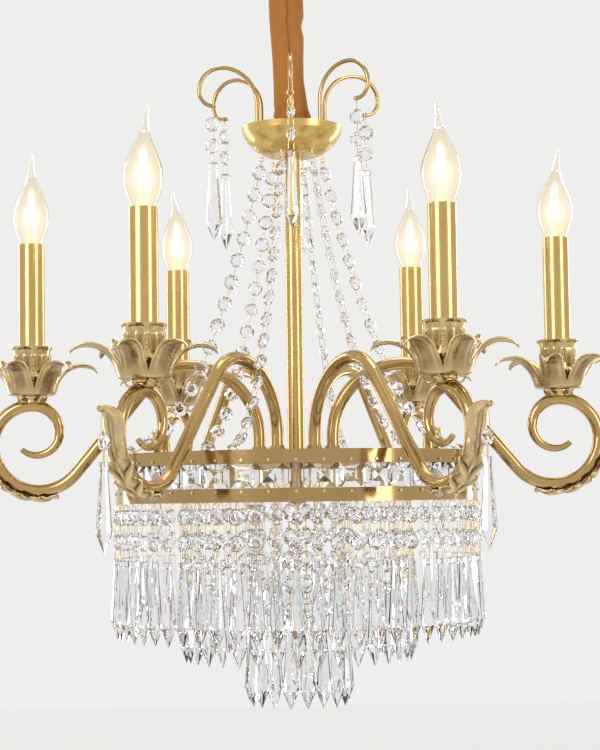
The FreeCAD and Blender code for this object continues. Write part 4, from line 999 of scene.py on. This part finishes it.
def read_beads(node):
    """Placements of a node's beads and drops, as two lists."""
    beads, drops = [], []
    for points in islands(node):
        centre, thin, _, spread = solid_axes(points)
        if len(points) == BEAD_POINTS:
            out = Vector((centre.x, centre.y, 0)).normalized()
            farthest = Vector(spread[np.argmax(np.linalg.norm(spread, axis=1))])
            corner = (farthest - thin * farthest.dot(thin)).normalized()
            ups = [Matrix.Rotation(pi / BEAD_CORNERS + i * pi / 4, 3, thin) @ corner
                   for i in range(BEAD_CORNERS)]
            up = max(ups, key=lambda u: u.z + 0.001 * u.dot(out))
            beads.append(hung(centre, thin, up))
        else:
            top = Vector((points[:, 0].mean(), points[:, 1].mean(), points[:, 2].max()))
            drops.append(hung(top, Vector((thin.x, thin.y, 0)), Vector((0, 0, 1))))
    return beads, drops


def sizes_of_bead():
    """Width, thickness, girdle and table of the frame's beads."""
    points = next(p for p in islands("arm_drop_crystals_1") if len(p) == BEAD_POINTS)
    _, thin, _, spread = solid_axes(points)
    heights = np.abs(spread @ np.array(thin))
    across = np.sqrt(np.maximum(np.sum(spread ** 2, axis=1) - heights ** 2, 0))
    outer = across > across.max() * 0.9
    return 2 * across.max(), 2 * heights.max(), 2 * heights[outer].max(), 2 * across[~outer].max()


def sizes_of_drop():
    """Length, width, thickness and point of the frame's drops."""
    points = next(p for p in islands("arm_drop_crystals_1") if len(p) != BEAD_POINTS)
    levels = sorted(set(np.round(points[:, 2], 5)))
    flat = points[:, :2] - points.mean(axis=0)[:2]
    axes = np.linalg.eigh(flat.T @ flat)[1]
    thick, width = [np.ptp(flat @ axes[:, i]) for i in (0, 1)]
    return levels[-1] - levels[0], width, thick, levels[1] - levels[0]


def crystals():
    """Beads and drops of every strand, each node's in one piece on the same body."""
    bead = bead_template(*sizes_of_bead())
    drop = drop_template_of(*sizes_of_drop())
    strung = []
    for node, body in CRYSTAL_BODIES.items():
        beads, drops = read_beads(node)
        parts = [copies(template, places) for template, places in ((bead, beads), (drop, drops))
                 if places]
        finish_piece(joined(parts), "cut_" + node, "crystal", body, [node], smooth=0)
        strung += beads + drops
    drop_template(bead)
    drop_template(drop)
    return strung


def wire_loop(length, top_half, bottom_half):
    """A slim closed loop of wire in the plane x = 0, its top at the origin."""
    bpy.ops.mesh.primitive_circle_add(vertices=8, radius=1, rotation=(pi / 2, 0, pi / 2))
    loop = settle(bpy.context.object)
    for vertex in loop.data.vertices:
        y, z = vertex.co.y, vertex.co.z
        half = top_half if z > 0 else bottom_half
        side = max(-1.0, min(1.0, y * 1.4))
        level = max(-1.0, min(1.0, z * 1.25))
        corner = 0.55 if abs(z) > 0.9 else 1.0
        vertex.co = Vector((0, side * half * corner, (level - 1) * length / 2))
    focus(loop)
    bpy.ops.object.convert(target="CURVE")
    loop.data.bevel_depth = WIRE_R * MM
    loop.data.bevel_resolution = 1
    bpy.ops.object.convert(target="MESH")
    return loop


def is_ring(points):
    """Whether a wire is a flat ring, and not a straight link."""
    _, thin, long, spread = solid_axes(points)
    widths = sorted(np.ptp(spread @ np.array(axis)) for axis in (thin, long.cross(thin)))
    return widths[1] > RING_FLATNESS * widths[0]


def hole_at(end, places, strung):
    """The thin axis of the crystal whose hole is at a wire's end, or None."""
    gaps = np.linalg.norm(places - np.array(end), axis=1)
    best = int(np.argmin(gaps))
    return strung[best].to_3x3().col[0] if gaps[best] < HOLE_NEAR * MM else None


def read_link(points, places, strung):
    """A link's kind, which is its length and whether each end is wide, and its placement."""
    centre, _, long, spread = solid_axes(points)
    extent = spread @ np.array(long)
    length = np.ptp(extent)
    axis = long if long.z > 0 else -long
    middle = centre + long * float((extent.max() + extent.min()) / 2)
    top, low = [middle + axis * (sign * length / 2) for sign in (1, -1)]
    thin_top, thin_low = [hole_at(end, places, strung) for end in (top, low)]
    both = (thin_top or thin_low).copy()
    if thin_top and thin_low:
        both += thin_low * (1 if thin_low.dot(thin_top) > 0 else -1)
    y = (both - axis * both.dot(axis)).normalized()
    turn = Matrix((y.cross(axis), y, axis)).transposed().to_4x4()
    top_bite, low_bite = [(LINK_BITE if hole else BARE_BITE) * MM for hole in (thin_top, thin_low)]
    kind = (round(length + top_bite + low_bite, 4), bool(thin_top), bool(thin_low))
    return kind, Matrix.Translation(top + axis * top_bite) @ turn


def wires(strung):
    """A loop of wire between each two crystals, turned to lie along both holes."""
    places = np.array([list(matrix.translation) for matrix in strung])
    for node, body in WIRE_BODIES.items():
        kinds = {}
        rings = []
        for points in islands(node):
            if is_ring(points):
                rings.append(points)
            else:
                kind, place = read_link(points, places, strung)
                kinds.setdefault(kind, []).append(place)
        parts = []
        for (length, *wide_ends), found in kinds.items():
            halves = [(LINK_HALF if wide else BARE_HALF) * MM for wide in wide_ends]
            loop = wire_loop(length, *halves)
            parts.append(copies(loop, found))
            drop_template(loop)
        parts += [wire_ring(points) for points in rings]
        finish_piece(joined(parts), "bent_" + node, "wire", body, [node])


def wire_ring(points):
    """A ring of wire as wide as the frame's."""
    _, thin, long, spread = solid_axes(points)
    radius = np.ptp(spread @ np.array(long)) / 2 - RING_INSET * MM
    turn = thin.to_track_quat("Z", "Y").to_euler()
    middle = Vector((points.max(axis=0) + points.min(axis=0)) / 2)
    bpy.ops.mesh.primitive_torus_add(
        location=middle, rotation=turn, major_segments=20, minor_segments=8,
        major_radius=radius, minor_radius=RING_WIRE_R * MM)
    return settle(bpy.context.object)


# ---------------------------------------------------------------- cloth sleeve on the chain

# heights of the sleeve, and how far it reaches left and right of the chain there
SLEEVE_LEVELS = (-192, -180, -172, -160, -142, -120, -104, -98, -92, -87, -77, -56)
SLEEVE_LEFT = (15.0, 16.5, 17.0, 16.5, 16.8, 18.0, 19.3, 19.7, 20.3, 20.6, 21.1, 21.7)
SLEEVE_RIGHT = (15.0, 17.0, 17.3, 15.2, 12.6, 12.4, 12.6, 12.6, 11.0, 10.2, 12.6, 12.2)
SLEEVE_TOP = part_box("fabric_sleeve")[1].z / MM
SLEEVE_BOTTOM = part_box("fabric_sleeve")[0].z / MM
SLEEVE_DEEP = 14.2
SLEEVE_WALL = 1.0
SLEEVE_START = -150
SLEEVE_SEAM = 271
FLAP_RISE = 1.6
FLAP_LIP = 0.9
HEM_WAVE = 1.2
GATHER_Z = -176
PINCH_Z = -132
PINCH_ANGLE = 256
CREASE_DEEP = 1.1
# height, waves round the sleeve, turn down its length and start of each set of folds
SLEEVE_FOLDS = ((0.45, 3, 5, 0.6), (0.3, 7, -6, 2.0))


def sleeve_point(t, s):
    """A point of the cloth rolled round the chain, its left edge lapped over the right one."""
    z = SLEEVE_TOP + (SLEEVE_BOTTOM - SLEEVE_TOP) * s
    angle = radians(SLEEVE_START + (SLEEVE_SEAM - SLEEVE_START) * (t + 1) / 2)
    left = float(np.interp(z, SLEEVE_LEVELS, SLEEVE_LEFT))
    right = float(np.interp(z, SLEEVE_LEVELS, SLEEVE_RIGHT))
    half = (left + right - SLEEVE_WALL) / 2
    flap = FLAP_RISE * smooth_step(0.60, 0.76, t) + FLAP_LIP * smooth_step(0.955, 1.0, t)
    folds = sum(rise * sin(waves * angle + turn * s + start)
                for rise, waves, turn, start in SLEEVE_FOLDS)
    crease = CREASE_DEEP * exp(groove(angle, radians(PINCH_ANGLE), radians(7)))
    crease *= exp(groove(z, PINCH_Z, 22))
    gather = exp(groove(z, GATHER_Z, 7)) * (1.1 * sin(5 * angle + 1.1) + 0.5 * sin(11 * angle))
    roll = 0.8 * sin((z + 165) * 0.42 + 2 * sin(2 * angle)) * exp(groove(z, GATHER_Z, 9))
    out = flap + folds * (0.6 + 0.4 * s) + gather + roll - crease
    middle = (right - left) / 2
    hem = HEM_WAVE * sin(2 * angle + 0.5) * smooth_step(0.9, 1.0, abs(2 * s - 1))
    return Vector((middle + (half + out) * cos(angle), (SLEEVE_DEEP + out) * sin(angle), z + hem)) * MM


def cloth_sleeve():
    """The soft cloth that hides the chain, rolled round it with its own lap."""
    cloth = bent_sheet("cloth_sleeve", 150, 96, sleeve_point, lambda t, s: 0.0)
    modify(cloth, "SOLIDIFY", thickness=SLEEVE_WALL * MM, offset=0.0)
    cloth.data.name = cloth.name
    bpy.ops.object.shade_smooth_by_angle(angle=radians(60))
    dress(cloth, "sleeve_cloth")
    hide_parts("fabric_sleeve")
    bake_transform(cloth)


# ---------------------------------------------------------------- lamps

LAMP_TURN = 37
STEM_FOOT = 5.2
STEM_TOP = 2.2
STEM_TALL = 22
FILAMENTS = 4
FILAMENT_R = 1.1
# distance from the lamp's axis, turn round it and height of a filament's two ends
FILAMENT_FOOT = (4.4, 0.0, 32)
FILAMENT_TIP = (1.9, 0.5, 62)


def lamp_stem():
    """The glass stem on the base of a lamp."""
    bpy.ops.mesh.primitive_cone_add(vertices=20, radius1=STEM_FOOT * MM, radius2=STEM_TOP * MM,
                                    depth=STEM_TALL * MM, location=(0, 0, STEM_TALL * MM))
    return settle(bpy.context.object)


def filament_rods():
    """Upright filaments that lean in over the stem."""
    rods = []
    for i in range(FILAMENTS):
        angle = 2 * pi * i / FILAMENTS + 0.3
        foot, tip = [Vector((reach * cos(angle + turn), reach * sin(angle + turn), height)) * MM
                     for reach, turn, height in (FILAMENT_FOOT, FILAMENT_TIP)]
        along = tip - foot
        bpy.ops.mesh.primitive_cylinder_add(
            vertices=10, radius=FILAMENT_R * MM, depth=along.length,
            location=(foot + tip) / 2, rotation=along.to_track_quat("Z", "Y").to_euler())
        rods.append(settle(bpy.context.object))
    return joined(rods)


def lamp_insides():
    """A glass stem with upright filaments in each lamp, turned differently from lamp to lamp."""
    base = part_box("bulb_glass_1")[0].z
    for k in range(LAMPS):
        axis = around_z(k * STEP) @ Matrix.Translation((CANDLE_R, 0, base))
        stem = lamp_stem()
        stem.data.transform(axis)
        finish_piece(stem, f"lamp_stem_{k + 1}", "bulb_glass", f"bulb_{k + 1}")
        rods = filament_rods()
        rods.data.transform(axis @ around_z(radians(LAMP_TURN * k)))
        finish_piece(rods, f"filaments_{k + 1}", "filament", f"bulb_{k + 1}")


# ---------------------------------------------------------------- the scene

set_colours()
add_camera()
add_world()
add_floor()
add_lights()
dress_frame()
dishes()
cup_lobes()
cup_beading()
necks()
arm_leaves()
wires(crystals())
lamp_insides()
cloth_sleeve()
